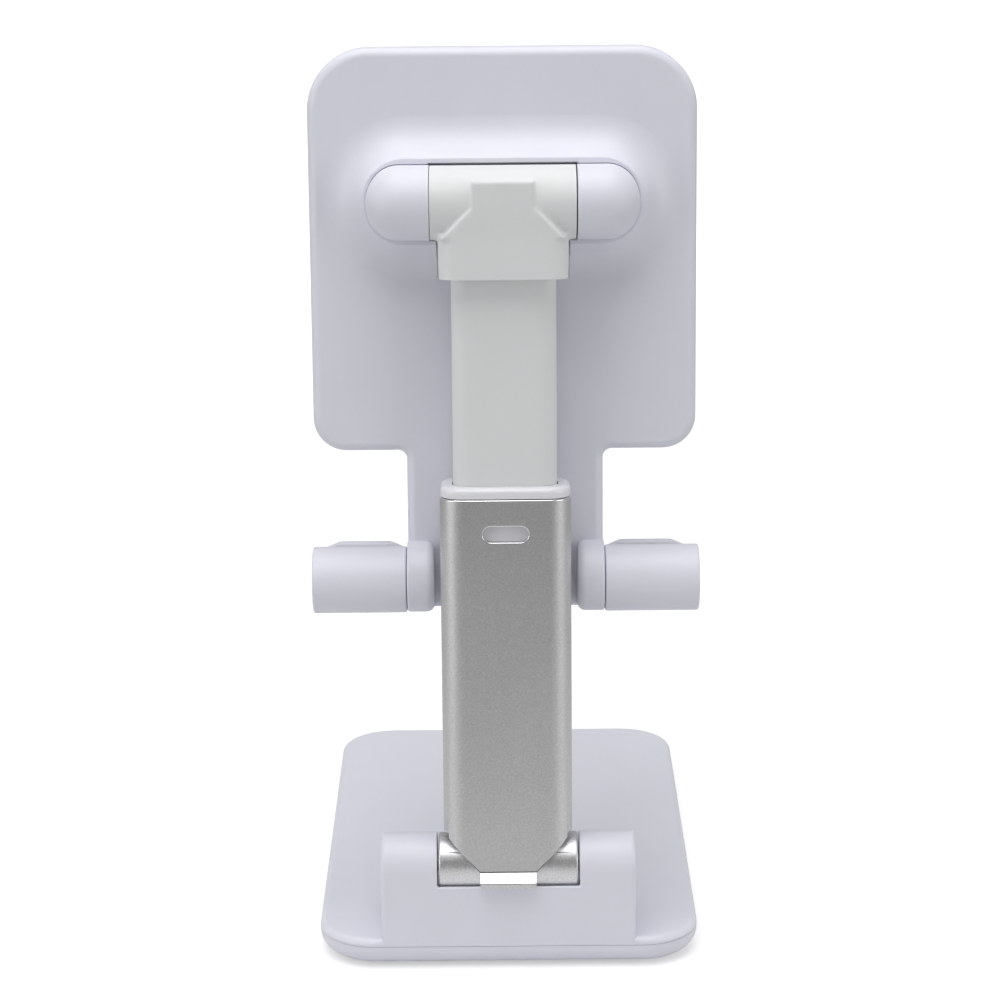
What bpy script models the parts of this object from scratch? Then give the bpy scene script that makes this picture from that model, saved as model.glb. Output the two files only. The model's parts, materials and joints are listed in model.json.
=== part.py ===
"""A folding phone stand: a weighted base, a telescopic arm, and a tilting tray with two folding hooks.

Lengths are in millimetres, and are scaled to metres when a mesh is made. The front of the stand faces -Y,
and the origin is on the surface that it stands on, under the middle of the base. The arm, the tray and the
hooks are drawn in the frame of the empty on their own joint: X across, Y to the rear, Z up along the arm.
"""

import math

import bmesh
import bpy
from mathutils import Matrix, Vector

MM = 0.001
GAP = 0.3  # between two pieces that touch
ARC_STEPS = 6
ROUND_STEPS = 24
SMALL_STEPS = 14
SMOOTH_ANGLE = math.radians(35)

# Base
BASE_WIDTH = 80.0
BASE_LENGTH = 120.0
BASE_CORNER = 12.0
BASE_SEAM = 5.35  # height of the line between cover and shell
BASE_TOP = 6.9
BASE_PAD_PROUD = 0.6
COVER_WALL = 2.2
COVER_FLOOR = 2.2
WEIGHT_SIZE = (66.0, 86.0, 2.7)
BASE_SCREWS = (29.0, 49.0)

# Hinge block of the base
HINGE_Y = 53.5
HINGE_Z = 21.8
EAR_RADIUS = 6.3
BLOCK_WIDTH = 53.0
BLOCK_WALL = 1.6
EAR_GAP = 29.6
SLOT_RADIUS = 6.55
SLOT_FLOOR = 7.0  # below the hinge axis
SLOT_REAR_WALL = 18.7
LEAN = math.radians(5.0)  # forward from upright, at the rear stop

# Hinge hardware
PIN_RADIUS = 2.0
PIN_BORE = 2.3
PIN_TIP = -24.4
PIN_HEAD = (3.4, 1.6)  # radius and thickness, as for the washer and the nut
SPRING_WASHER = (4.0, 0.8)
PIN_NUT = (3.6, 1.8)
BRACKET_SIDE = (19.0, 21.0)
BRACKET_STRIP = (3.7, 5.2)
BRACKET_HALF = 4.0
BRACKET_SCREW_X = 9.0

# Lower arm
TUBE_WIDTH = 26.7
TUBE_DEPTH = 13.2
TUBE_CORNER = (5.0, 4.4)
TUBE_WALL = 1.3
TUBE_FOOT = 7.9
TUBE_TOP = 78.6
TONGUE_TIP = -0.1
LUG = ((8.2, -2.15), (8.2, -3.3))  # foot of its slope, and its lower edge
TONGUE_WIDTH = 11.7
KNUCKLE_RADIUS = 6.2
KNUCKLE_LENGTH = 29.0
KNUCKLE_PLUG_TOP = 15.4
LATCH_HEIGHT = 71.5
LATCH_SIZE = (9.3, 3.3)
COLLAR_FOOT = 66.0
COLLAR_TOP = 81.0

# Upper arm
INNER_WIDTH = 21.1
INNER_DEPTH = 8.0
INNER_CORNER = (3.6, 3.2)
INNER_WALL = 1.2
INNER_FOOT = 58.5
INNER_TOP = 129.4
HEAD_FOOT = 123.4
HEAD_SHOULDER = 132.4
HEAD_WIDTH = 26.1
HEAD_FRONT = -7.0
HEAD_REAR = 7.6
TRAY_HINGE = 138.0  # height along the arm
HEAD_BARREL = (7.4, 29.1)  # radius and length
STOP_BLOCK = (12.4, 8.0, 5.0)  # width, reach to the rear, height over the tray hinge

# Tray
TRAY_WIDTH = 78.6
NECK_WIDTH = 40.4
TRAY_TOP = 30.3
TRAY_SHOULDER = -51.9
NECK_FOOT = -85.2
TRAY_CORNERS = (12.5, 6.8, 2.5)  # top, shoulder, foot of the neck
NECK_FILLET = 1.9
TRAY_BACK = -7.5
TRAY_FRONT = -13.0
TRAY_SKIN = 1.6
TRAY_LEDGE = -11.2
PAD_FRONT = -14.1
CAPSULE = (54.9, 7.5)  # length and radius over both hinge caps
SWELL = (  # depth, length and height of the seat round the caps
    (-7.8, 71.0, 33.0),
    (-6.9, 66.0, 28.0),
    (-5.6, 62.0, 23.6),
    (-3.6, 59.2, 19.6),
    (-1.2, 57.4, 17.6),
)
CAP_SCREW_X = 21.0
TRAY_SCREWS = ((30.0, 20.0), (30.0, -43.0))
HOOK_Z = -78.9
HOOK_Y = -7.4
EAR_SPAN = (14.75, 20.35)
HOOK_EAR = (7.4, 0.65)  # radius, and its middle over the hook's axis

# Hooks
HOOK_SPAN = (20.65, 39.9)
HOOK_RADIUS = 6.9
HOOK_REACH = 25.0
HOOK_FLOOR = 2.6
HOOK_LIP = (2.4, 2.7)  # thickness, and height over the hook's axis
LIP_CORNER = (4.2, 2.4)  # how far in and how far down the lip's corners are cut off
HOOK_PIN_SPAN = (15.2, 32.0)

FINISHES = {
    "shell_abs": ((0.80, 0.80, 0.86), 0.42, 0.0),
    "arm_abs": ((0.80, 0.82, 0.80), 0.48, 0.0),
    "blasted_aluminium": ((0.60, 0.61, 0.61), 0.38, 1.0),
    "cast_metal": ((0.72, 0.72, 0.73), 0.24, 1.0),
    "steel": ((0.55, 0.56, 0.58), 0.35, 1.0),
    "silicone": ((0.62, 0.63, 0.66), 0.75, 0.0),
}


def finish(name):
    """The material of this name, made on first use."""
    if name in bpy.data.materials:
        return bpy.data.materials[name]
    colour, roughness, metallic = FINISHES[name]
    material = bpy.data.materials.new(name)
    material.use_nodes = True
    shader = material.node_tree.nodes["Principled BSDF"]
    shader.inputs["Base Color"].default_value = (*colour, 1.0)
    shader.inputs["Roughness"].default_value = roughness
    shader.inputs["Metallic"].default_value = metallic
    return material


def joint_frame(name, place, parent=None, lean=0.0):
    """An empty on a joint, at a place in its parent's frame, turned forward by lean."""
    empty = bpy.data.objects.new(name, None)
    bpy.context.collection.objects.link(empty)
    empty.parent = parent
    empty.location = Vector(place) * MM
    empty.rotation_euler = (lean, 0.0, 0.0)
    return empty


# Outlines: lists of 2-D points


def rounded(corners, steps=ARC_STEPS):
    """Corners (x, y, radius) in order, each made an arc that is tangent to its two sides."""
    outline = []
    for index, (x, y, radius) in enumerate(corners):
        corner = Vector((x, y))
        if radius <= 0:
            outline.append(corner)
            continue
        before = (Vector(corners[index - 1][:2]) - corner).normalized()
        after = (Vector(corners[(index + 1) % len(corners)][:2]) - corner).normalized()
        half = before.angle(after) / 2
        centre = corner + (before + after).normalized() * radius / math.sin(half)
        start = corner + before * radius / math.tan(half) - centre
        sweep = math.copysign(math.pi - 2 * half, after.x * before.y - after.y * before.x)
        for step in range(steps + 1):
            outline.append(centre + Matrix.Rotation(sweep * step / steps, 2) @ start)
    return outline


def rectangle(width, length, radius, inset=0.0, centre=(0.0, 0.0)):
    x, y = width / 2 - inset, length / 2 - inset
    corners = [(x, -y), (x, y), (-x, y), (-x, -y)]
    return rounded([(a + centre[0], b + centre[1], max(radius - inset, 0.0)) for a, b in corners])


def oval(width, depth, corner, inset=0.0):
    """A rectangle whose corners are quarter ellipses."""
    reach_x, reach_y = corner[0] - inset, corner[1] - inset
    outline = []
    for quarter, (side_x, side_y) in enumerate(((1, 1), (-1, 1), (-1, -1), (1, -1))):
        middle_x = side_x * (width / 2 - inset - reach_x)
        middle_y = side_y * (depth / 2 - inset - reach_y)
        for step in range(ARC_STEPS + 1):
            angle = (quarter + step / ARC_STEPS) * math.pi / 2
            x = middle_x + reach_x * math.cos(angle)
            y = middle_y + reach_y * math.sin(angle)
            outline.append(Vector((x, y)))
    return outline


def stadium(length, height):
    """An oblong with round ends."""
    outline = []
    for side in (1, -1):
        for step in range(2 * ARC_STEPS + 1):
            angle = side * math.pi / 2 * (step / ARC_STEPS - 1)
            turn = Vector((math.cos(angle), math.sin(angle))) * height / 2
            outline.append(Vector((side * ((length - height) / 2 + turn.x), turn.y)))
    return outline


def circle(radius, centre=(0.0, 0.0), steps=ROUND_STEPS):
    turns = [2 * math.pi * step / steps for step in range(steps)]
    return [Vector((centre[0] + radius * math.cos(t), centre[1] + radius * math.sin(t))) for t in turns]


# Meshes

PLACES = {
    "X": lambda point, level: (level, point[0], point[1]),
    "Y": lambda point, level: (point[0], level, point[1]),
    "Z": lambda point, level: (point[0], point[1], level),
}


def facing_out(mesh):
    """The mesh with all its faces turned the same way, out of the solid."""
    bmesh.ops.recalc_face_normals(mesh, faces=mesh.faces)
    if mesh.calc_volume(signed=True) < 0:
        bmesh.ops.reverse_faces(mesh, faces=mesh.faces)
    return mesh


def lofted(axis, sections):
    """A closed mesh through sections (level, outline) along the axis, with equally many points each."""
    mesh = bmesh.new()
    rings = []
    for level, outline in sections:
        ring = [mesh.verts.new(PLACES[axis](point, level)) for point in outline]
        rings.append([mesh.edges.new((ring[k - 1], ring[k])) for k in range(len(ring))])
    for ring, following in zip(rings, rings[1:]):
        bmesh.ops.bridge_loops(mesh, edges=ring + following)
    bmesh.ops.holes_fill(mesh, edges=rings[0] + rings[-1], sides=0)
    return facing_out(mesh)


def prism(axis, low, high, outline):
    return lofted(axis, [(low, outline), (high, outline)])


def turned(axis, profile, centre=(0.0, 0.0), steps=SMALL_STEPS):
    """A mesh turned about an axis from a closed profile of (distance along the axis, radius)."""
    mesh = bmesh.new()
    ring = [mesh.verts.new((along, radius, 0.0)) for along, radius in profile]
    edges = [mesh.edges.new((ring[k - 1], ring[k])) for k in range(len(ring))]
    bmesh.ops.spin(
        mesh, geom=edges, axis=(1, 0, 0), cent=(0, 0, 0), angle=2 * math.pi, steps=steps, use_merge=True
    )
    bmesh.ops.remove_doubles(mesh, verts=mesh.verts, dist=1e-4)
    loose = [edge for edge in mesh.edges if not edge.link_faces]
    bmesh.ops.delete(mesh, geom=loose, context="EDGES")
    for vertex in mesh.verts:
        along, first, second = vertex.co
        vertex.co = PLACES[axis]((first + centre[0], second + centre[1]), along)
    return facing_out(mesh)


def rod(axis, low, high, radius, centre=(0.0, 0.0), steps=ROUND_STEPS):
    return prism(axis, low, high, circle(radius, centre, steps))


def box(low, high):
    (x, y, z), (far_x, far_y, far_z) = low, high
    return prism("Z", z, far_z, [Vector(p) for p in ((x, y), (far_x, y), (far_x, far_y), (x, far_y))])


def placed(name, mesh, parent):
    """An object made of this mesh, in the frame of its parent."""
    bmesh.ops.scale(mesh, vec=(MM, MM, MM), verts=mesh.verts)
    data = bpy.data.meshes.new(name)
    mesh.to_mesh(data)
    mesh.free()
    piece = bpy.data.objects.new(name, data)
    bpy.context.collection.objects.link(piece)
    piece.parent = parent
    return piece


def boolean(piece, operation, mesh):
    """Joins a mesh in the piece's frame to it, or cuts it away. The helper object isn't rendered."""
    helper = placed(f"{piece.name}.helper", mesh, piece.parent)
    helper.hide_render = True
    helper.display_type = "WIRE"
    step = piece.modifiers.new(operation.lower(), "BOOLEAN")
    step.operation = operation
    step.object = helper
    step.solver = "EXACT"


def piece_of(name, material, parent, mesh, joins=(), cuts=()):
    """One piece of the stand: its first mesh, the meshes joined to it, and those cut from the result."""
    piece = placed(name, mesh, parent)
    piece.data.materials.append(finish(material))
    piece.data.shade_smooth()
    piece.data.set_sharp_from_angle(angle=SMOOTH_ANGLE)
    for other in joins:
        boolean(piece, "UNION", other)
    for other in cuts:
        boolean(piece, "DIFFERENCE", other)
    return piece


# Base


def base_outline(inset):
    return rectangle(BASE_WIDTH, BASE_LENGTH, BASE_CORNER, inset)


def base_screw_places():
    x, y = BASE_SCREWS
    return [(x, y), (-x, y), (-x, -y), (x, -y)]


def base_bottom_cover():
    rim = BASE_SEAM - GAP / 2
    walls = [(BASE_PAD_PROUD, 4.2), (0.9, 2.9), (1.7, 1.6), (2.9, 0.6), (4.2, 0.1), (rim, 0.0)]
    bosses = [rod("Z", COVER_FLOOR - 0.4, 3.5, 3.6, place, SMALL_STEPS) for place in base_screw_places()]
    cuts = [prism("Z", -1.0, 1.2, rectangle(BASE_WIDTH, BASE_LENGTH, BASE_CORNER, 6.7))]
    for place in base_screw_places():
        cuts.append(rod("Z", -1.0, 2.6, 2.6, place, SMALL_STEPS))
        cuts.append(rod("Z", 2.0, 4.5, 1.4, place, SMALL_STEPS))
    shell = lofted("Z", [(level, base_outline(inset)) for level, inset in walls])
    hollow = prism("Z", COVER_FLOOR, BASE_SEAM + 1.0, base_outline(COVER_WALL))
    cover = piece_of("base_bottom_cover", "shell_abs", None, shell, cuts=[hollow])
    for boss in bosses:
        boolean(cover, "UNION", boss)
    for cut in cuts:
        boolean(cover, "DIFFERENCE", cut)


def block_profile(inset, foot):
    """The hinge block's side view: round ears over an upright body, flush with the rear of the base."""
    radius = EAR_RADIUS - inset
    turns = [math.pi * step / 12 for step in range(13)]
    ear = [Vector((HINGE_Y + radius * math.cos(t), HINGE_Z + radius * math.sin(t))) for t in turns]
    front = Vector((HINGE_Y - radius, foot))
    rear = Vector((BASE_LENGTH / 2 - inset, foot))
    return [rear, *ear, front]


def slot_profile():
    """The side view of the space between the ears: it is open to the front and above."""
    height = SLOT_REAR_WALL - HINGE_Z
    start = math.asin(height / SLOT_RADIUS)
    turns = [start + (-math.pi / 2 - start) * step / 8 for step in range(9)]
    bowl = [(HINGE_Y + SLOT_RADIUS * math.cos(t), HINGE_Z + SLOT_RADIUS * math.sin(t)) for t in turns]
    rear = BASE_LENGTH / 2 + 2.0
    front = HINGE_Y - 20.0
    floor = HINGE_Z - SLOT_FLOOR
    over = HINGE_Z + 15.0
    points = [(rear, over), (rear, SLOT_REAR_WALL), *bowl, (HINGE_Y, floor), (front, floor), (front, over)]
    return [Vector(point) for point in points]


def base_top_shell():
    foot = BASE_SEAM + GAP / 2
    rims = [(foot, 0.0), (foot + 0.35, 0.05), (foot + 0.8, 0.4), (BASE_TOP - 0.15, 1.0), (BASE_TOP, 1.7)]
    plate = lofted("Z", [(level, base_outline(inset)) for level, inset in rims])
    side = BLOCK_WIDTH / 2
    block = prism("X", -side, side, block_profile(0.0, foot))
    lip = [prism("Z", 3.9, foot + 0.4, base_outline(COVER_WALL + GAP))]
    inside = prism("Z", 3.0, foot, base_outline(COVER_WALL + GAP + 1.2))
    shell = piece_of("base_top_shell", "shell_abs", None, plate, joins=[block, *lip], cuts=[inside])
    middle = EAR_GAP / 2 + BLOCK_WALL
    under = SLOT_FLOOR + BLOCK_WALL
    cuts = [prism("X", -EAR_GAP / 2, EAR_GAP / 2, slot_profile())]
    cuts.append(box((-middle - 1, HINGE_Y - 4.7, 2.0), (middle + 1, HINGE_Y + 4.7, HINGE_Z - under)))
    for way in (-1, 1):
        ends = sorted((way * middle, way * (side - BLOCK_WALL)))
        cuts.append(prism("X", *ends, block_profile(BLOCK_WALL, 2.0)))
    cuts.append(rod("X", -middle - 1, middle + 1, PIN_BORE, (HINGE_Y, HINGE_Z), SMALL_STEPS))
    for cut in cuts:
        boolean(shell, "DIFFERENCE", cut)
    for x in (-BRACKET_SCREW_X, BRACKET_SCREW_X):
        post = rod("Z", 5.8, HINGE_Z - under + 0.6, 2.8, (x, HINGE_Y), SMALL_STEPS)
        boolean(shell, "UNION", post)
        boolean(shell, "DIFFERENCE", rod("Z", 3.0, 11.5, 1.4, (x, HINGE_Y), SMALL_STEPS))
    for place in base_screw_places():
        boolean(shell, "UNION", rod("Z", 3.8, foot + 0.4, 3.0, place, SMALL_STEPS))
        boolean(shell, "DIFFERENCE", rod("Z", 3.0, 6.2, 1.3, place, SMALL_STEPS))


def screw(name, parent, axis, head, tip, centre, head_radius=2.2, shank_radius=1.0):
    """A pan-head screw from the end of its head to its tip."""
    way = math.copysign(1.0, tip - head)
    neck = head + 1.0 * way
    profile = [
        (head, 0.0),
        (head, head_radius * 0.75),
        (head + 0.45 * way, head_radius),
        (neck, head_radius),
        (neck, shank_radius),
        (tip - 0.6 * way, shank_radius),
        (tip, 0.0),
    ]
    piece_of(name, "steel", parent, turned(axis, profile, centre))


def base_inside():
    """The weight, the anti-slip pad and the screws of the base."""
    width, length, height = WEIGHT_SIZE
    low = COVER_FLOOR + GAP
    plate = prism("Z", low, low + height, rectangle(width, length, 4.0, centre=(0.0, -2.0)))
    piece_of("base_weight", "steel", None, plate)
    pad = prism("Z", 0.0, 0.9, rectangle(BASE_WIDTH, BASE_LENGTH, BASE_CORNER, 7.0))
    piece_of("base_pad", "silicone", None, pad)
    for number, place in enumerate(base_screw_places(), 1):
        screw(f"base_screw_{number}", None, "Z", 1.3, 5.9, place)


def washer(name, parent, low, high, radius, bore, centre, material="steel"):
    profile = [(low, bore), (low, radius), (high, radius), (high, bore)]
    piece_of(name, material, parent, turned("X", profile, centre))


def hinge_hardware():
    """The steel bracket inside the ears, its screws, and the pin with its spring washer and nut."""
    near, far = BRACKET_SIDE
    centre = (HINGE_Y, HINGE_Z)
    low, high = BRACKET_STRIP
    front, rear = HINGE_Y - BRACKET_HALF, HINGE_Y + BRACKET_HALF
    strip = box((-far, front, low), (far, rear, high))
    sides = []
    for way in (-1, 1):
        ends = sorted((way * near, way * far))
        sides.append(box((ends[0], front, low), (ends[1], rear, HINGE_Z)))
        sides.append(rod("X", *ends, BRACKET_HALF, centre))
    cuts = [rod("X", -far - 1, far + 1, PIN_BORE, centre, SMALL_STEPS)]
    for x in (-BRACKET_SCREW_X, BRACKET_SCREW_X):
        cuts.append(rod("Z", 3.0, 6.0, 1.5, (x, HINGE_Y), SMALL_STEPS))
    piece_of("hinge_bracket", "steel", None, strip, joins=sides, cuts=cuts)
    for name, x in (("left", -BRACKET_SCREW_X), ("right", BRACKET_SCREW_X)):
        screw(f"bracket_screw_{name}", None, "Z", 2.4, 10.8, (x, HINGE_Y))
    head = far + GAP
    end = head + PIN_HEAD[1]
    shank = [(PIN_TIP, 0.0), (PIN_TIP, PIN_RADIUS), (head, PIN_RADIUS)]
    rivet = [(head, PIN_HEAD[0]), (end, PIN_HEAD[0]), (end, 0.0)]
    piece_of("hinge_pin", "steel", None, turned("X", shank + rivet, centre))
    inner = -far - GAP
    outer = inner - SPRING_WASHER[1]
    washer("hinge_spring_washer", None, outer, inner, SPRING_WASHER[0], PIN_BORE, centre)
    high = outer - GAP
    low = high - PIN_NUT[1]
    nut = rod("X", low, high, PIN_NUT[0], centre, 6)
    thread = rod("X", low - 1, high + 1, PIN_BORE, centre, SMALL_STEPS)
    piece_of("hinge_nut", "steel", None, nut, cuts=[thread])


# Lower arm, in the frame of the arm's hinge


def tube_outline(inset=0.0):
    return oval(TUBE_WIDTH, TUBE_DEPTH, TUBE_CORNER, inset)


def inner_outline(inset=0.0):
    return oval(INNER_WIDTH, INNER_DEPTH, INNER_CORNER, inset)


def tongue_side(way, grow=0.0):
    """The triangle beside the tongue, left of it or right of it, that its V cut takes away."""
    tip, side = TONGUE_WIDTH / 2 + grow, TUBE_WIDTH / 2 + 1.0 + grow
    slope = (TUBE_FOOT - TONGUE_TIP) / (TUBE_WIDTH / 2 - TONGUE_WIDTH / 2)
    height = TUBE_FOOT + slope
    points = [(tip, TONGUE_TIP - 1.0), (tip, TONGUE_TIP), (side, height), (side, TONGUE_TIP - 1.0)]
    return [Vector((way * x, z)) for x, z in points]


def outer_tube(arm):
    body = prism("Z", TONGUE_TIP, TUBE_TOP, tube_outline())
    reach = TUBE_DEPTH / 2
    cuts = [
        prism("Z", TONGUE_TIP - 2, TUBE_TOP + 2, tube_outline(TUBE_WALL)),
        box((-TUBE_WIDTH, -reach - 1, TONGUE_TIP - 2), (TUBE_WIDTH, reach - TUBE_WALL - 0.4, TUBE_FOOT)),
        prism("Y", 0.0, reach + 2, [Vector((x, z + LATCH_HEIGHT)) for x, z in stadium(*LATCH_SIZE)]),
    ]
    cuts += [prism("Y", 0.0, reach + 2, tongue_side(way)) for way in (-1, 1)]
    piece_of("outer_tube", "blasted_aluminium", arm, body, cuts=cuts)


def hinge_knuckle(arm):
    reach = TUBE_DEPTH / 2
    half = KNUCKLE_LENGTH / 2
    barrel = rod("X", -half, half, KNUCKLE_RADIUS)
    neck = prism("Z", -1.0, TUBE_FOOT - GAP, rectangle(20.0, 11.4, 1.5, centre=(0.0, -0.6)))
    plug = prism("Z", 3.0, KNUCKLE_PLUG_TOP, tube_outline(TUBE_WALL + GAP))
    lug = [(3.0, TONGUE_TIP - GAP), (reach + 0.1, TONGUE_TIP - GAP), *LUG, (3.0, LUG[1][1])]
    stop = prism("X", -TONGUE_WIDTH / 2, TONGUE_WIDTH / 2, [Vector(point) for point in lug])
    skin = reach - TUBE_WALL - GAP
    tongue = [(-TONGUE_WIDTH / 2 - GAP, TONGUE_TIP - GAP), (TONGUE_WIDTH / 2 + GAP, TONGUE_TIP - GAP)]
    tongue += [(TUBE_WIDTH / 2 + GAP, TUBE_FOOT), (-TUBE_WIDTH / 2 - GAP, TUBE_FOOT)]
    seat = prism("Y", skin, reach + 3, [Vector(point) for point in tongue])
    knuckle = piece_of("hinge_knuckle", "cast_metal", arm, barrel, joins=[neck, plug], cuts=[seat])
    boolean(knuckle, "UNION", stop)
    boolean(knuckle, "DIFFERENCE", rod("X", -half - 1, half + 1, PIN_BORE, steps=SMALL_STEPS))


def tube_collar(arm):
    lip = [(TUBE_TOP + GAP, 0.5), (TUBE_TOP + 0.6, 0.2), (79.9, 0.3), (80.6, 0.8), (COLLAR_TOP, 1.6)]
    rim = lofted("Z", [(level, tube_outline(inset)) for level, inset in lip])
    sleeve = prism("Z", COLLAR_FOOT, TUBE_TOP + 0.8, tube_outline(TUBE_WALL + GAP))
    length, height = LATCH_SIZE
    tab = [Vector((x, z + LATCH_HEIGHT)) for x, z in stadium(length - 2 * GAP, height - 2 * GAP)]
    latch = prism("Y", 4.5, 5.9, tab)
    bore = prism("Z", COLLAR_FOOT - 2, COLLAR_TOP + 2, inner_outline(-GAP))
    piece_of("tube_collar", "shell_abs", arm, rim, joins=[sleeve, latch], cuts=[bore])


# Upper arm, in the frame of the slide, whose origin is the arm's hinge when the arm is fully out


def inner_tube(slide):
    body = prism("Z", INNER_FOOT, INNER_TOP, inner_outline())
    hollow = prism("Z", INNER_FOOT - 2, INNER_TOP + 2, inner_outline(INNER_WALL))
    piece_of("inner_tube", "arm_abs", slide, body, cuts=[hollow])


def slide_shoe(slide):
    foot = INNER_FOOT - GAP - 2.2
    ring = prism("Z", foot, COLLAR_FOOT - GAP, tube_outline(TUBE_WALL + GAP + 0.05))
    seat = prism("Z", INNER_FOOT - GAP, COLLAR_FOOT + 2, inner_outline(-GAP))
    plug = prism("Z", foot + 1.0, INNER_FOOT + 3.5, inner_outline(INNER_WALL + GAP))
    shoe = piece_of("slide_shoe", "arm_abs", slide, ring, cuts=[seat])
    boolean(shoe, "UNION", plug)


def head(slide):
    middle = (0.0, (HEAD_REAR + HEAD_FRONT) / 2)
    depth = HEAD_REAR - HEAD_FRONT
    block_width, block_rear, block_top = STOP_BLOCK
    collar = rectangle(HEAD_WIDTH, depth, 3.6, centre=middle)
    crown_middle = (0.0, (block_rear + HEAD_FRONT) / 2)
    crown = rectangle(block_width, block_rear - HEAD_FRONT, 0.8, centre=crown_middle)
    body = lofted("Z", [(HEAD_FOOT, collar), (HEAD_SHOULDER, collar), (TRAY_HINGE + 1.4, crown)])
    radius, length = HEAD_BARREL
    barrel = rod("X", -length / 2, length / 2, radius, (0.0, TRAY_HINGE), 32)
    block = box((-block_width / 2, 0.0, TRAY_HINGE), (block_width / 2, block_rear, TRAY_HINGE + block_top))
    socket = prism("Z", HEAD_FOOT - 1, INNER_TOP + GAP, inner_outline(-GAP))
    bore = rod("X", -length, length, PIN_BORE, (0.0, TRAY_HINGE), SMALL_STEPS)
    piece_of("head", "arm_abs", slide, body, joins=[barrel, block], cuts=[socket, bore])


# Tray, in the frame of its hinge


def tray_outline(inset, neck_inset=None):
    """The plate's outline: a rounded rectangle with a narrower neck below it."""
    neck_inset = inset if neck_inset is None else neck_inset
    x, neck = TRAY_WIDTH / 2 - inset, NECK_WIDTH / 2 - neck_inset
    top, shoulder, foot = TRAY_TOP - inset, TRAY_SHOULDER + inset, NECK_FOOT + inset
    at_top, at_shoulder, at_foot = (max(radius - inset, 0.5) for radius in TRAY_CORNERS)
    fillet = NECK_FILLET + inset
    return rounded(
        [
            (x, top, at_top),
            (-x, top, at_top),
            (-x, shoulder, at_shoulder),
            (-neck, shoulder, fillet),
            (-neck, foot, at_foot),
            (neck, foot, at_foot),
            (neck, shoulder, fillet),
            (x, shoulder, at_shoulder),
        ]
    )


def capsule(grow=0.0):
    """The round-ended bar round the tray's hinge, as a mesh along X."""
    length, radius = CAPSULE
    end = length / 2 + grow
    radius = radius + grow
    dome = radius * 0.88
    turns = [math.pi / 2 * step / 8 for step in range(9)]
    right = [(end - dome + dome * math.sin(t), radius * math.cos(t)) for t in turns]
    right[-1] = (end, 0.0)
    left = [(-along, across) for along, across in reversed(right)]
    return turned("X", left + right, steps=32)


def hook_ear(way):
    """The disc beside the neck that a hook turns on, with its inner rim bevelled."""
    near, far = EAR_SPAN
    radius, rise = HOOK_EAR
    levels = [(near, radius - 1.7), (near + 1.7, radius), (far - 0.4, radius), (far, radius - 0.4)]
    return lofted("X", [(way * level, circle(size, (HOOK_Y, HOOK_Z + rise), 32)) for level, size in levels])


def tray_back_shell(tray):
    trim = 0.5  # the plate is drawn this much too thick, and cut flat with the ears
    rims = [(TRAY_FRONT - trim, 0.0), (-9.6, 0.0), (-8.6, 0.25), (-7.9, 0.85), (TRAY_BACK, 1.75)]
    plate = lofted("Y", [(level, tray_outline(inset)) for level, inset in rims])
    mound = lofted("Y", [(level, stadium(length, height)) for level, length, height in SWELL])
    ears = [hook_ear(way) for way in (-1, 1)]
    half = HEAD_BARREL[1] / 2 + 0.45
    top = CAPSULE[1] + GAP
    cuts = [
        capsule(GAP),
        rod("X", -half, half, top + 0.1, steps=32),
        box((-half, TRAY_BACK - 0.05, -17.4), (half, 12.0, 0.0)),
        box((-TRAY_WIDTH, TRAY_FRONT - 9, NECK_FOOT - 9), (TRAY_WIDTH, TRAY_FRONT, TRAY_TOP + 9)),
        prism("Y", TRAY_FRONT - 3, TRAY_LEDGE, tray_outline(TRAY_SKIN)),
        prism("Y", TRAY_FRONT - 3, TRAY_BACK - TRAY_SKIN, tray_outline(TRAY_SKIN + 1.6, 8.0)),
    ]
    shell = piece_of("tray_back_shell", "shell_abs", tray, plate, joins=[mound, *ears], cuts=cuts)
    for x, z in tray_screw_places():
        boolean(shell, "UNION", rod("Y", TRAY_LEDGE, TRAY_BACK - 1.0, 2.6, (x, z), SMALL_STEPS))
        boolean(shell, "DIFFERENCE", rod("Y", TRAY_LEDGE - 1, TRAY_BACK - 1.2, 1.3, (x, z), SMALL_STEPS))
    for way in (-1, 1):
        screw_hole = rod("Y", TRAY_FRONT, -4.0, 1.3, (way * CAP_SCREW_X, 0.0), SMALL_STEPS)
        boolean(shell, "DIFFERENCE", screw_hole)
        ends = sorted((way * (HOOK_PIN_SPAN[0] - GAP), way * (EAR_SPAN[1] + 1)))
        boolean(shell, "DIFFERENCE", rod("X", *ends, PIN_BORE, (HOOK_Y, HOOK_Z), SMALL_STEPS))


def tray_screw_places():
    return [(way * x, z) for x, z in TRAY_SCREWS for way in (-1, 1)]


def tray_front(tray):
    """The front panel with its screws, and the soft pad that covers them."""
    panel = prism("Y", TRAY_FRONT, TRAY_LEDGE - GAP, tray_outline(TRAY_SKIN + GAP))
    cuts = []
    for place in tray_screw_places():
        cuts.append(rod("Y", TRAY_FRONT - 1, TRAY_FRONT + 0.9, 2.5, place, SMALL_STEPS))
        cuts.append(rod("Y", TRAY_FRONT - 1, TRAY_FRONT + 3, 1.3, place, SMALL_STEPS))
    piece_of("tray_front_panel", "shell_abs", tray, panel, cuts=cuts)
    pad = prism("Y", PAD_FRONT, TRAY_FRONT - GAP, tray_outline(3.2))
    piece_of("tray_pad", "silicone", tray, pad)
    for number, place in enumerate(tray_screw_places(), 1):
        screw(f"tray_screw_{number}", tray, "Y", TRAY_FRONT - 0.2, TRAY_BACK - 1.6, place, head_radius=2.1)


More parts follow.
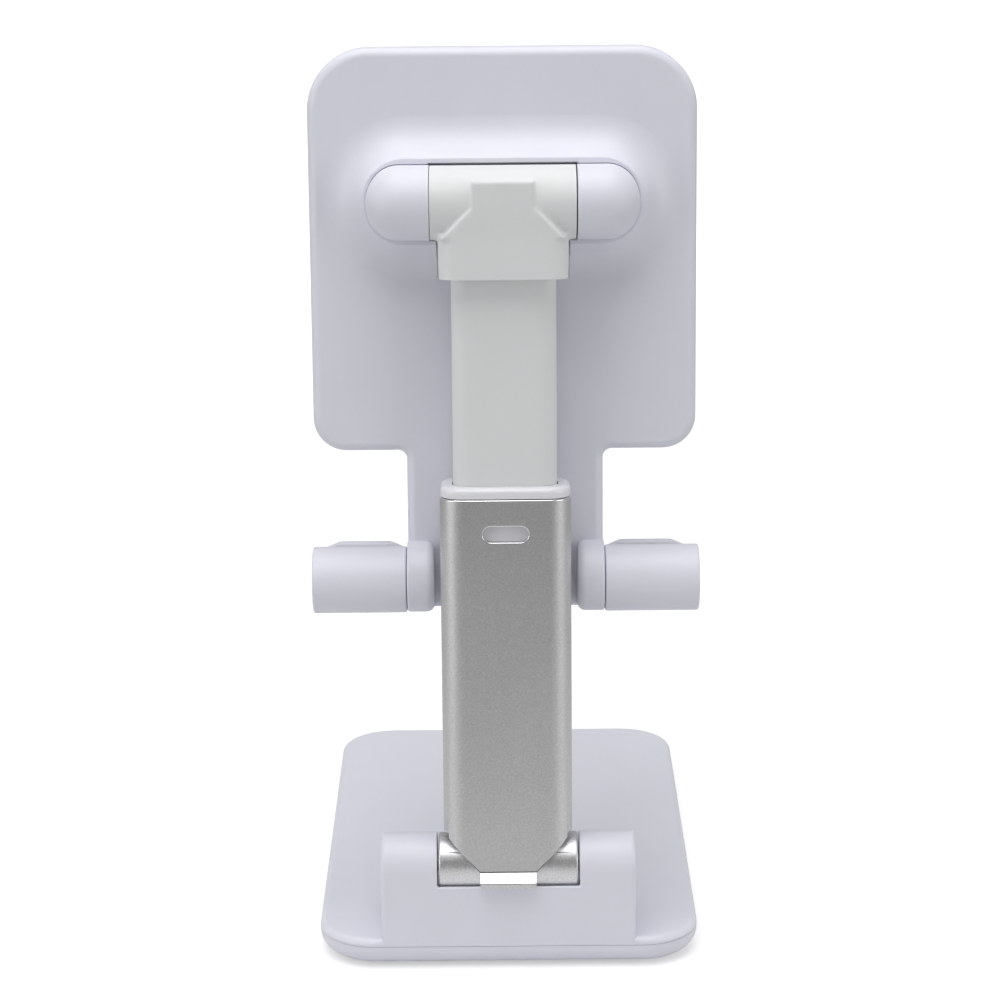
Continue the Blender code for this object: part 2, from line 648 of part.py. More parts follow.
def tray_hinge(tray):
    """The caps beside the head's barrel, their screws, and the pin and washers between them."""
    radius, length = HEAD_BARREL
    near = length / 2 + GAP
    tip = 24.0
    for name, way in (("left", -1), ("right", 1)):
        spare = sorted((way * near, -way * 60.0))
        ends = sorted((way * 5.0, way * (near + 1.3)))
        bores = sorted((way * 5.0, way * (tip + GAP)))
        cuts = [
            box((spare[0], -20.0, -20.0), (spare[1], 20.0, 20.0)),
            rod("X", *ends, 4.3, steps=SMALL_STEPS),
            rod("X", *bores, PIN_BORE, steps=SMALL_STEPS),
            rod("Y", -12.0, -2.0, 1.3, (way * CAP_SCREW_X, 0.0), SMALL_STEPS),
        ]
        piece_of(f"hinge_cap_{name}", "shell_abs", tray, capsule(), cuts=cuts)
        screw(f"cap_screw_{name}", tray, "Y", -11.1, -2.6, (way * CAP_SCREW_X, 0.0))
        ring = sorted((way * (near + 0.3), way * (near + 1.0)))
        washer(f"tray_hinge_washer_{name}", tray, *ring, 4.0, PIN_BORE, (0.0, 0.0))
    piece_of("tray_hinge_pin", "steel", tray, rod("X", -tip, tip, PIN_RADIUS, steps=SMALL_STEPS))


# Hooks, each in the frame of its own pivot


def hook(name, way, pivot):
    """A barrel with a flat arm to the front, whose tip turns up into a lip with bevelled corners."""
    near, far = HOOK_SPAN
    ends = sorted((way * near, way * far))
    middle = way * (near + far) / 2
    thick, lip_top = HOOK_LIP
    barrel_rings = [(ends[0], 0.4), (ends[0] + 0.4, 0.0), (ends[1] - 0.4, 0.0), (ends[1], 0.4)]
    barrel = lofted("X", [(level, circle(HOOK_RADIUS - inset, steps=32)) for level, inset in barrel_rings])
    foot = -HOOK_RADIUS + 0.25
    floor = foot + HOOK_FLOOR
    inside = -HOOK_REACH + thick
    side = [
        (0.0, foot, 0.0),
        (0.0, floor + 1.5, 0.0),
        (-5.5, floor, 0.0),
        (inside, floor, 1.2),
        (inside, lip_top, 0.9),
        (-HOOK_REACH, lip_top, 0.9),
        (-HOOK_REACH, foot, 2.4),
    ]
    arm = prism("X", ends[0] + 0.2, ends[1] - 0.2, rounded(side, 3))
    corners = []
    for edge in (-1, 1):
        outer = middle + edge * (far - near) / 2
        inner = outer - edge * LIP_CORNER[0]
        beyond = outer + edge
        points = [(inner, lip_top + 0.01), (beyond, lip_top - LIP_CORNER[1]), (beyond, lip_top + 1)]
        corners.append(prism("Y", -HOOK_REACH - 1, inside + 0.4, [Vector(point) for point in points]))
    bore = sorted((way * (near - 1), way * (HOOK_PIN_SPAN[1] + GAP)))
    cuts = [rod("X", *bore, PIN_BORE, steps=SMALL_STEPS), *corners]
    piece_of(f"hook_{name}", "shell_abs", pivot, barrel, joins=[arm], cuts=cuts)
    pad = rectangle(far - near - 3.0, 11.6, 1.5, centre=(middle, -13.6))
    piece_of(f"hook_pad_{name}", "silicone", pivot, prism("Z", floor + GAP, floor + GAP + 0.8, pad))


def hook_pin(name, way, tray):
    ends = sorted(way * along for along in HOOK_PIN_SPAN)
    piece_of(f"hook_pin_{name}", "steel", tray, rod("X", *ends, PIN_RADIUS, (HOOK_Y, HOOK_Z), SMALL_STEPS))


def main():
    for old in list(bpy.data.objects):
        bpy.data.objects.remove(old)
    base_bottom_cover()
    base_top_shell()
    base_inside()
    hinge_hardware()
    arm = joint_frame("arm_hinge", (0.0, HINGE_Y, HINGE_Z), lean=LEAN)
    outer_tube(arm)
    hinge_knuckle(arm)
    tube_collar(arm)
    slide = joint_frame("height_slide", (0.0, 0.0, 0.0), arm)
    inner_tube(slide)
    slide_shoe(slide)
    head(slide)
    tray = joint_frame("tray_hinge", (0.0, 0.0, TRAY_HINGE), slide)
    tray_back_shell(tray)
    tray_front(tray)
    tray_hinge(tray)
    for name, way in (("left", -1), ("right", 1)):
        pivot = joint_frame(f"hook_pivot_{name}", (0.0, HOOK_Y, HOOK_Z), tray)
        hook(name, way, pivot)
        hook_pin(name, way, tray)


main()
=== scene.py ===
"""A folding phone stand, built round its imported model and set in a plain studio.

Lengths are in millimetres until a piece is finished, and then in metres. The arm, the tray and the hooks
are drawn in the arm's own frame, with its origin at the arm's hinge: X across, Y to the rear, Z up the arm.
"""

import json
import logging
import math
from collections.abc import Callable, Mapping, Sequence
from dataclasses import dataclass, field
from enum import Enum

import bmesh
import bpy
from mathutils import Matrix, Vector


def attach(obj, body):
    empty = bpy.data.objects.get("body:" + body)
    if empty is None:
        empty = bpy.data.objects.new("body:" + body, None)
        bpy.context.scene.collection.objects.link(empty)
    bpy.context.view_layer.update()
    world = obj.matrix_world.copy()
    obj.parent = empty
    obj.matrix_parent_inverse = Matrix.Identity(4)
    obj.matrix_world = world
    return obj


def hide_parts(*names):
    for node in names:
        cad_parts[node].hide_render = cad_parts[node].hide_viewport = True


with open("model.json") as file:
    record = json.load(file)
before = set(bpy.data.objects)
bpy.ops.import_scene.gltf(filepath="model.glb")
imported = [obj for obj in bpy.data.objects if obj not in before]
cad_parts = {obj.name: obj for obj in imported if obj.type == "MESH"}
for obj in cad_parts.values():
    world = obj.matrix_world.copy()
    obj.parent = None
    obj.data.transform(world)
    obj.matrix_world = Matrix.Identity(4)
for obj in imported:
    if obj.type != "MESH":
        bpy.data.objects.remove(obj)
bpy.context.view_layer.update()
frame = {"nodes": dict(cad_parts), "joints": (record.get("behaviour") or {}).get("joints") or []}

MM = 0.001
TOUCH = 0.01  # how near a level, in millimetres, counts as being at it
ALONG = 0.99  # how straight along an axis an edge has to run to count as running along it
LOG = logging.getLogger("phone_stand")

Flat = tuple[float, float]
Point = tuple[float, float, float]
Colour = tuple[float, float, float]
Pick = Callable[[Vector, Vector], bool]


class Axis(Enum):
    """The direction that a rod or slab is drawn along, with the turn that brings Z there."""

    X = Matrix(((0, 0, 1, 0), (1, 0, 0, 0), (0, 1, 0, 0), (0, 0, 0, 1)))
    Y = Matrix(((1, 0, 0, 0), (0, 0, 1, 0), (0, 1, 0, 0), (0, 0, 0, 1)))
    Z = Matrix.Identity(4)


class Mix(Enum):
    """How one solid meets another."""

    JOIN = "UNION"
    CUT = "DIFFERENCE"


class Side(Enum):
    """A side of the stand, seen from the front, with the sign of its X."""

    LEFT = -1
    RIGHT = 1

    @property
    def word(self) -> str:
        """The side's name in lower case."""
        return self.name.lower()

    def span(self, near: float, far: float) -> Flat:
        """The lower and the higher X of a stretch given by its distances from the middle."""
        low, high = sorted((self.value * near, self.value * far))
        return low, high


# Solids


class Form:
    """A closed solid in millimetres, shaped by mesh operators."""

    def __init__(self, mesh: bmesh.types.BMesh) -> None:
        """Takes over a mesh."""
        self.mesh = mesh

    @classmethod
    def block(cls, low: Point, high: Point) -> "Form":
        """A box between two corners.

        Args:
            low: the corner with the lowest values.
            high: the corner with the highest values.

        Returns:
            The box.
        """
        mesh = bmesh.new()
        bmesh.ops.create_cube(mesh, size=1.0)
        bmesh.ops.scale(mesh, vec=Vector(high) - Vector(low), verts=mesh.verts)
        bmesh.ops.translate(mesh, vec=(Vector(high) + Vector(low)) / 2, verts=mesh.verts)
        return cls(mesh)

    @classmethod
    def rod(
        cls, axis: Axis, span: Flat, radius: float, centre: Flat = (0.0, 0.0), steps: int = 72
    ) -> "Form":
        """A round bar.

        Args:
            axis: the direction of the bar.
            span: where it starts and ends along that direction.
            radius: its radius.
            centre: the other two coordinates of its axis.
            steps: how many sides stand for the circle.

        Returns:
            The bar.
        """
        mesh = bmesh.new()
        depth = span[1] - span[0]
        bmesh.ops.create_cone(
            mesh, cap_ends=True, segments=steps, radius1=radius, radius2=radius, depth=depth
        )
        bmesh.ops.translate(mesh, vec=(*centre, sum(span) / 2), verts=mesh.verts)
        return cls(mesh)._stood(axis)

    @classmethod
    def slab(cls, axis: Axis, span: Flat, corners: Sequence[Flat]) -> "Form":
        """A straight-sided solid over an outline.

        Args:
            axis: the direction in which its sides run.
            span: where it starts and ends along that direction.
            corners: the other two coordinates of its corners, once round.

        Returns:
            The solid.
        """
        mesh = bmesh.new()
        face = mesh.faces.new([mesh.verts.new((a, b, span[0])) for a, b in corners])
        grown = bmesh.ops.extrude_face_region(mesh, geom=[face])["geom"]
        raised = [part for part in grown if isinstance(part, bmesh.types.BMVert)]
        bmesh.ops.translate(mesh, vec=(0.0, 0.0, span[1] - span[0]), verts=raised)
        return cls(mesh)._stood(axis)

    @classmethod
    def oblong(cls, span: Flat, size: Flat, corner: Flat) -> "Form":
        """An upright bar whose corners are quarter ellipses.

        Args:
            span: where it starts and ends in height.
            size: its width and depth.
            corner: the reach of a corner along the width and along the depth.

        Returns:
            The bar.
        """
        squash = corner[1] / corner[0]
        form = cls.slab(Axis.Z, span, rectangle(size[0], size[1] / squash))
        form.round(corner[0], 14, upright)
        bmesh.ops.scale(form.mesh, vec=(1.0, squash, 1.0), verts=form.mesh.verts)
        return form

    @classmethod
    def turned(cls, profile: Sequence[Flat], steps: int = 72) -> "Form":
        """A solid turned about X.

        Args:
            profile: (distance along X, radius) from one pole to the other.
            steps: how many sides stand for the circle.

        Returns:
            The solid.
        """
        mesh = bmesh.new()
        line = [mesh.verts.new((along, radius, 0.0)) for along, radius in profile]
        edges = [mesh.edges.new(pair) for pair in zip(line, line[1:])]
        bmesh.ops.spin(
            mesh, geom=edges, axis=(1, 0, 0), cent=(0, 0, 0), angle=math.tau, steps=steps, use_merge=True
        )
        bmesh.ops.remove_doubles(mesh, verts=mesh.verts, dist=1e-4)
        return cls(mesh)._outward()

    @classmethod
    def mound(cls, profile: Sequence[Flat], half: float, steps: int = 28) -> "Form":
        """A low hill round a straight stretch, with round ends: a profile swept round an oblong.

        Args:
            profile: (distance from the stretch, Y) from the foot of the hill to its top.
            half: half the length of the stretch along X.
            steps: how many parts make each half turn.

        Returns:
            The hill, closed at its foot and at its top.
        """
        mesh = bmesh.new()
        line = [mesh.verts.new((half, level, -reach)) for reach, level in profile]
        moving = [mesh.edges.new(pair) for pair in zip(line, line[1:])]
        for middle in (half, -half):
            spun = bmesh.ops.spin(
                mesh, geom=moving, axis=(0, 1, 0), cent=(middle, 0, 0), angle=-math.pi, steps=steps
            )
            moving = [part for part in spun["geom_last"] if isinstance(part, bmesh.types.BMEdge)]
            grown = bmesh.ops.extrude_edge_only(mesh, edges=moving)["geom"]
            ends = [part for part in grown if isinstance(part, bmesh.types.BMVert)]
            moving = [part for part in grown if isinstance(part, bmesh.types.BMEdge)]
            moving = [edge for edge in moving if all(end in ends for end in edge.verts)]
            bmesh.ops.translate(mesh, vec=(-2 * middle, 0, 0), verts=ends)
        bmesh.ops.remove_doubles(mesh, verts=mesh.verts, dist=1e-3)
        open_edges = [edge for edge in mesh.edges if len(edge.link_faces) == 1]
        bmesh.ops.holes_fill(mesh, edges=open_edges, sides=0)
        return cls(mesh)._outward()

    def _outward(self) -> "Form":
        """Turns every face out of the solid."""
        bmesh.ops.recalc_face_normals(self.mesh, faces=self.mesh.faces)
        if self.mesh.calc_volume(signed=True) < 0:
            bmesh.ops.reverse_faces(self.mesh, faces=self.mesh.faces)
        return self

    def _stood(self, axis: Axis) -> "Form":
        """Brings a solid drawn along Z to another direction."""
        bmesh.ops.transform(self.mesh, matrix=axis.value, verts=self.mesh.verts)
        return self._outward()

    def moved(self, by: Point) -> "Form":
        """Moves the solid."""
        bmesh.ops.translate(self.mesh, vec=by, verts=self.mesh.verts)
        return self

    def round(self, radius: float, segments: int, where: Pick, least: float = 25.0) -> "Form":
        """Rounds the edges that a rule picks.

        Args:
            radius: how far the rounding reaches from the edge.
            segments: how many faces stand for it.
            where: says by an edge's middle and direction whether it is rounded.
            least: the smallest angle between an edge's faces, in degrees.

        Returns:
            The same solid.
        """
        picked = []
        for edge in self.mesh.edges:
            if len(edge.link_faces) != 2 or edge.calc_face_angle(0.0) < math.radians(least):
                continue
            start, end = (vert.co for vert in edge.verts)
            if where((start + end) / 2, (end - start).normalized()):
                picked.append(edge)
        bmesh.ops.bevel(
            self.mesh,
            geom=picked,
            offset=radius,
            offset_type="OFFSET",
            segments=segments,
            profile=0.5,
            affect="EDGES",
            clamp_overlap=False,
            material=-1,
        )
        return self

    def cut_flat(self, at: Point, facing: Point) -> "Form":
        """Takes away what lies beyond a plane, and closes the cut.

        Args:
            at: a point on the plane.
            facing: the side of the plane that goes.

        Returns:
            The same solid.
        """
        whole = [*self.mesh.verts, *self.mesh.edges, *self.mesh.faces]
        cut = bmesh.ops.bisect_plane(
            self.mesh, geom=whole, dist=1e-4, plane_co=at, plane_no=facing, clear_outer=True
        )["geom_cut"]
        rim = [part for part in cut if isinstance(part, bmesh.types.BMEdge)]
        bmesh.ops.holes_fill(self.mesh, edges=rim, sides=0)
        return self._outward()

    def _shown(self) -> bpy.types.Object:
        """A passing object made of the solid, on which modifiers can work."""
        data = bpy.data.meshes.new("passing")
        self.mesh.to_mesh(data)
        body = bpy.data.objects.new("passing", data)
        bpy.context.scene.collection.objects.link(body)
        return body

    def _take(self, body: bpy.types.Object, others: Sequence[bpy.types.Object] = ()) -> "Form":
        """Takes a passing object's mesh with its modifiers applied, and removes the passing objects."""
        graph = bpy.context.evaluated_depsgraph_get()
        made = bpy.data.meshes.new_from_object(body.evaluated_get(graph))
        self.mesh.clear()
        self.mesh.from_mesh(made)
        bpy.data.meshes.remove(made)
        for spare in (body, *others):
            data = spare.data
            bpy.data.objects.remove(spare)
            bpy.data.meshes.remove(data)
        return self

    def _mixed(self, other: "Form", mix: Mix) -> "Form":
        """Joins another solid to this one, or cuts it away, and uses it up."""
        mine, theirs = self._shown(), other._shown()
        step = mine.modifiers.new("mix", "BOOLEAN")
        step.operation = mix.value
        step.solver = "EXACT"
        step.object = theirs
        other.mesh.free()
        self._take(mine, [theirs])
        bmesh.ops.remove_doubles(self.mesh, verts=self.mesh.verts, dist=2e-4)
        bmesh.ops.dissolve_degenerate(self.mesh, dist=2e-4, edges=self.mesh.edges)
        return self

    def join(self, *others: "Form") -> "Form":
        """Joins other solids to this one.

        Args:
            others: the solids, which are used up.

        Returns:
            The same solid.
        """
        for other in others:
            self._mixed(other, Mix.JOIN)
        return self

    def cut(self, *others: "Form") -> "Form":
        """Cuts other solids out of this one.

        Args:
            others: the solids, which are used up.

        Returns:
            The same solid.
        """
        for other in others:
            self._mixed(other, Mix.CUT)
        return self

    def soften(self, voxel: float, passes: int) -> "Form":
        """Gives a joined shape the soft fillets of a moulding, inside its corners and outside.

        Args:
            voxel: the size of the new even faces.
            passes: how often they are smoothed.

        Returns:
            The same solid.
        """
        body = self._shown()
        even = body.modifiers.new("even", "REMESH")
        even.mode = "VOXEL"
        even.voxel_size = voxel
        smooth = body.modifiers.new("smooth", "SMOOTH")
        smooth.factor = 0.5
        smooth.iterations = passes
        return self._take(body)

    def paint(self, index: int, where: Callable[[Vector, Vector], bool]) -> "Form":
        """Gives some of the faces another finish.

        Args:
            index: the finish's place in the piece's list.
            where: says by a face's middle and normal whether it gets the finish.

        Returns:
            The same solid.
        """
        for face in self.mesh.faces:
            if where(face.calc_center_median(), face.normal):
                face.material_index = index
        return self


def upright(middle: Vector, way: Vector) -> bool:
    """Picks edges that run along Z."""
    return abs(way.z) > ALONG


def along_x(middle: Vector, way: Vector) -> bool:
    """Picks edges that run along X."""
    return abs(way.x) > ALONG


def along_y(middle: Vector, way: Vector) -> bool:
    """Picks edges that run along Y."""
    return abs(way.y) > ALONG


def anywhere(middle: Vector, way: Vector) -> bool:
    """Picks every edge."""
    return True


def at(axis: str, level: float, side: int = 0) -> Pick:
    """Makes a rule that picks edges by where their middle is along one axis.

    Args:
        axis: "x", "y" or "z".
        level: the place along it.
        side: 1 for edges there or beyond, -1 for edges there or before, 0 for edges just there.

    Returns:
        The rule.
    """

    def hit(middle: Vector, way: Vector) -> bool:
        """Picks the edges."""
        off = getattr(middle, axis) - level
        return off * side > -TOUCH if side else abs(off) < TOUCH

    return hit


def rectangle(width: float, length: float, centre: Flat = (0.0, 0.0), inset: float = 0.0) -> list[Flat]:
    """The corners of a rectangle."""
    x, y = width / 2 - inset, length / 2 - inset
    return [(centre[0] + a * x, centre[1] + b * y) for a, b in ((1, -1), (1, 1), (-1, 1), (-1, -1))]


# Materials


class Wire:
    """A value in a material. Each operator adds the Math node that works it out."""

    def __init__(self, tree: bpy.types.NodeTree, socket: bpy.types.NodeSocket) -> None:
        """Wraps an output socket."""
        self.tree = tree
        self.socket = socket

    def _math(self, operation: str, *values: "Wire | float") -> "Wire":
        """Adds a Math node over these values."""
        node = self.tree.nodes.new("ShaderNodeMath")
        node.operation = operation
        for slot, value in zip(node.inputs, values):
            feed(self.tree, slot, value)
        return Wire(self.tree, node.outputs[0])

    def __add__(self, other: "Wire | float") -> "Wire":
        """The sum."""
        return self._math("ADD", self, other)

    __radd__ = __add__

    def __mul__(self, other: "Wire | float") -> "Wire":
        """The product."""
        return self._math("MULTIPLY", self, other)

    __rmul__ = __mul__

    def __sub__(self, other: "Wire | float") -> "Wire":
        """This less the other."""
        return self._math("SUBTRACT", self, other)

    def __rsub__(self, other: "Wire | float") -> "Wire":
        """The other less this."""
        return self._math("SUBTRACT", other, self)


def feed(tree: bpy.types.NodeTree, slot: bpy.types.NodeSocket, value: object) -> None:
    """Sets a socket to a value, or links it.

    Args:
        tree: the node tree that the socket is in.
        slot: the input socket.
        value: a Wire to link, or a plain value.
    """
    if isinstance(value, Wire):
        tree.links.new(value.socket, slot)
    elif isinstance(value, tuple) and len(value) == 3 and slot.type == "RGBA":
        slot.default_value = (*value, 1.0)
    else:
        slot.default_value = value


class Recipe:
    """The node tree of one material, round its Principled shader."""

    def __init__(self, name: str) -> None:
        """Starts a material.

        Args:
            name: the material's name.
        """
        self.material = bpy.data.materials.new(name)
        self.material.use_nodes = True
        self.tree = self.material.node_tree
        self.shader = self.tree.nodes["Principled BSDF"]
        self.place = self.add("ShaderNodeTexCoord", output="Object")

    def add(
        self,
        kind: str,
        settings: Mapping[str, object] | None = None,
        sockets: Mapping[str | int, object] | None = None,
        output: str | int = 0,
    ) -> Wire:
        """Adds a node.

        Args:
            kind: the node's type.
            settings: its settings, or a ramp's "stops", which are set first.
            sockets: values or links of its inputs.
            output: the output that is wanted.

        Returns:
            That output.
        """
        node = self.tree.nodes.new(kind)
        for name, value in (settings or {}).items():
            if name == "stops":
                self._stops(node.color_ramp, value)
            else:
                setattr(node, name, value)
        for name, value in (sockets or {}).items():
            feed(self.tree, node.inputs[name], value)
        return Wire(self.tree, node.outputs[output])

    @staticmethod
    def _stops(ramp: bpy.types.ColorRamp, stops: Sequence[tuple[float, Colour]]) -> None:
        """Sets a ramp's stops from (position, colour)."""
        while len(ramp.elements) < len(stops):
            ramp.elements.new(0.5)
        for element, (position, colour) in zip(ramp.elements, stops):
            element.position = position
            element.color = (*colour, 1.0)

    def noise(self, per_mm: float, detail: float = 2.0, stretch: Point = (1.0, 1.0, 1.0)) -> Wire:
        """A noise pattern that is fixed to the piece.

        Args:
            per_mm: how many features there are in a millimetre.
            detail: how many finer layers it has.
            stretch: how much finer it is along each axis.

        Returns:
            The noise, from 0 to 1.
        """
        place = self.add("ShaderNodeMapping", sockets={"Vector": self.place, "Scale": stretch})
        sockets = {"Vector": place, "Scale": per_mm / MM, "Detail": detail}
        return self.add("ShaderNodeTexNoise", sockets=sockets)

    def ramp(self, value: Wire, low: float, high: float) -> Wire:
        """Spreads the part of a value between two limits over 0 to 1."""
        sockets = {"Value": value, "From Min": low, "From Max": high}
        return self.add("ShaderNodeMapRange", sockets=sockets)

    def between(self, share: Wire, first: Colour, second: Colour) -> Wire:
        """Goes from one colour to another."""
        sockets = {0: share, 6: (*first, 1.0), 7: (*second, 1.0)}
        return self.add("ShaderNodeMix", {"data_type": "RGBA"}, sockets, output=2)

    def bump(self, height: Wire, depth_mm: float, strength: float = 1.0) -> None:
        """Makes a height the surface's relief."""
        sockets = {"Strength": strength, "Distance": depth_mm * MM, "Height": height}
        self.drive("Normal", self.add("ShaderNodeBump", sockets=sockets))

    def drive(self, socket: str, value: object) -> None:
        """Sets a socket of the shader, or links it."""
        feed(self.tree, self.shader.inputs[socket], value)


def shade(colour: Colour, by: float) -> Colour:
    """A colour made lighter or darker."""
    red, green, blue = (min(channel * by, 1.0) for channel in colour)
    return red, green, blue


@dataclass(frozen=True)
class MouldedPlastic:
    """Injection-moulded ABS with a fine spark-eroded grain."""

    name: str
    colour: Colour
    roughness: float = 0.42
    grain: float = 3.2
    depth: float = 0.012
    coat: float = 0.0

    def make(self) -> bpy.types.Material:
        """Builds the material."""
        recipe = Recipe(self.name)
        cloud = recipe.noise(0.035, 3.0)
        streak = recipe.noise(0.12, 2.0, (1.0, 1.0, 0.25))
        grain = recipe.noise(self.grain, 2.0)
        pores = recipe.ramp(recipe.noise(self.grain * 0.45, 1.0), 0.30, 0.70)
        tone = recipe.ramp(cloud * 0.6 + streak * 0.4, 0.35, 0.65)
        dull, clear = shade(self.colour, 0.985), shade(self.colour, 1.01)
        recipe.drive("Base Color", recipe.between(tone, dull, clear))
        recipe.drive("Roughness", self.roughness - 0.03 + streak * 0.04 + grain * 0.03)
        recipe.drive("IOR", 1.5)
        recipe.drive("Coat Weight", self.coat)
        recipe.drive("Coat Roughness", 0.12)
        recipe.bump(grain * 0.7 + pores * 0.3, self.depth)
        return recipe.material


@dataclass(frozen=True)
class BlastedAluminium:
    """Extruded aluminium, bead-blasted and anodised clear: a fine sparkle in grey."""

    name: str
    colour: Colour
    roughness: float = 0.44
    grain: float = 3.2
    depth: float = 0.030
    sparkle: float = 0.16

    def make(self) -> bpy.types.Material:
        """Builds the material."""
        recipe = Recipe(self.name)
        grain = recipe.noise(self.grain, 2.0)
        coarse = recipe.noise(self.grain * 0.4, 2.0)
        cloud = recipe.noise(0.05, 3.0)
        drawn = recipe.noise(0.6, 2.0, (1.0, 1.0, 0.03))
        specks = recipe.ramp(grain, 0.35, 0.70)
        tone = recipe.ramp(specks * 0.55 + cloud * 0.3 + drawn * 0.15, 0.25, 0.75)
        recipe.drive("Base Color", recipe.between(tone, shade(self.colour, 1 - self.sparkle), self.colour))
        recipe.drive("Metallic", 1.0)
        recipe.drive("Roughness", self.roughness - 0.06 + specks * 0.08 + coarse * 0.06)
        recipe.bump(grain * 0.6 + coarse * 0.4, self.depth)
        return recipe.material


@dataclass(frozen=True)
class CutMetal:
    """Metal that a diamond tool has cut bright, with its fine parallel lines."""

    name: str
    colour: Colour = (0.93, 0.93, 0.94)
    roughness: float = 0.16

    def make(self) -> bpy.types.Material:
        """Builds the material."""
        recipe = Recipe(self.name)
        lines = recipe.noise(5.0, 1.0, (0.04, 1.0, 1.0))
        cloud = recipe.noise(0.2, 2.0)
        recipe.drive("Base Color", recipe.between(lines, shade(self.colour, 0.94), self.colour))
        recipe.drive("Metallic", 1.0)
        recipe.drive("Roughness", self.roughness + lines * 0.08 + cloud * 0.04)
        recipe.bump(lines, 0.002)
        return recipe.material


@dataclass(frozen=True)
class PlatedSteel:
    """Steel with a zinc coat or a thin dark oxide, patchy where it was handled."""

    name: str
    colour: Colour = (0.62, 0.63, 0.65)
    stain: Colour = (0.50, 0.50, 0.50)
    roughness: float = 0.34

    def make(self) -> bpy.types.Material:
        """Builds the material."""
        recipe = Recipe(self.name)
        patch = recipe.ramp(recipe.noise(0.15, 4.0), 0.40, 0.62)
        rolled = recipe.noise(2.5, 2.0, (0.05, 1.0, 1.0))
        recipe.drive("Base Color", recipe.between(patch * 0.7 + rolled * 0.3, self.colour, self.stain))
        recipe.drive("Metallic", 1.0)
        recipe.drive("Roughness", self.roughness + patch * 0.14 + rolled * 0.05)
        recipe.bump(rolled * 0.6 + patch * 0.4, 0.008)
        return recipe.material


@dataclass(frozen=True)
class Silicone:
    """Soft matt silicone with a dimpled skin and a little dust."""

    name: str
    colour: Colour = (0.60, 0.61, 0.65)

    def make(self) -> bpy.types.Material:
        """Builds the material."""
        recipe = Recipe(self.name)
        sockets = {"Vector": recipe.place, "Scale": 1.1 / MM}
        cells = recipe.add("ShaderNodeTexVoronoi", {"feature": "F1"}, sockets)
        dimple = recipe.ramp(cells, 0.05, 0.60)
        dust = recipe.ramp(recipe.noise(0.12, 4.0), 0.45, 0.75)
        recipe.drive("Base Color", recipe.between(dust, self.colour, shade(self.colour, 1.10)))
        recipe.drive("Roughness", 0.68 + dust * 0.15)
        recipe.drive("Subsurface Weight", 0.08)
        recipe.drive("Subsurface Radius", (0.002, 0.002, 0.002))
        recipe.bump(dimple * 0.7 + recipe.noise(4.0) * 0.3, 0.02)
        return recipe.material


class Finish(Enum):
    """The finishes that the stand is made in."""

    SHELL = MouldedPlastic("lavender_white_abs", (0.800, 0.800, 0.885))
    ARM = MouldedPlastic("cool_white_abs", (0.800, 0.810, 0.812), roughness=0.46)
    GLOSS = MouldedPlastic("glossy_white_abs", (0.86, 0.86, 0.90), roughness=0.22, depth=0.003, coat=0.5)
    TUBE = BlastedAluminium("blasted_aluminium", (0.74, 0.74, 0.74))
    CAST = BlastedAluminium("silver_cast_zinc", (0.90, 0.90, 0.91), roughness=0.42, grain=3.2, sparkle=0.20)
    BRIGHT = CutMetal("bright_cut_edge")
    STEEL = PlatedSteel("zinc_plated_steel")
    PLATE = PlatedSteel("rolled_steel_plate", (0.34, 0.34, 0.35), (0.22, 0.21, 0.20), 0.45)
    SOFT = Silicone("soft_silicone")
    GRIP = Silicone("grip_silicone", (0.52, 0.53, 0.56))

    @property
    def material(self) -> bpy.types.Material:
        """The finish's material, made on first use."""
        made = bpy.data.materials.get(self.value.name)
        return made or self.value.make()


# Pieces


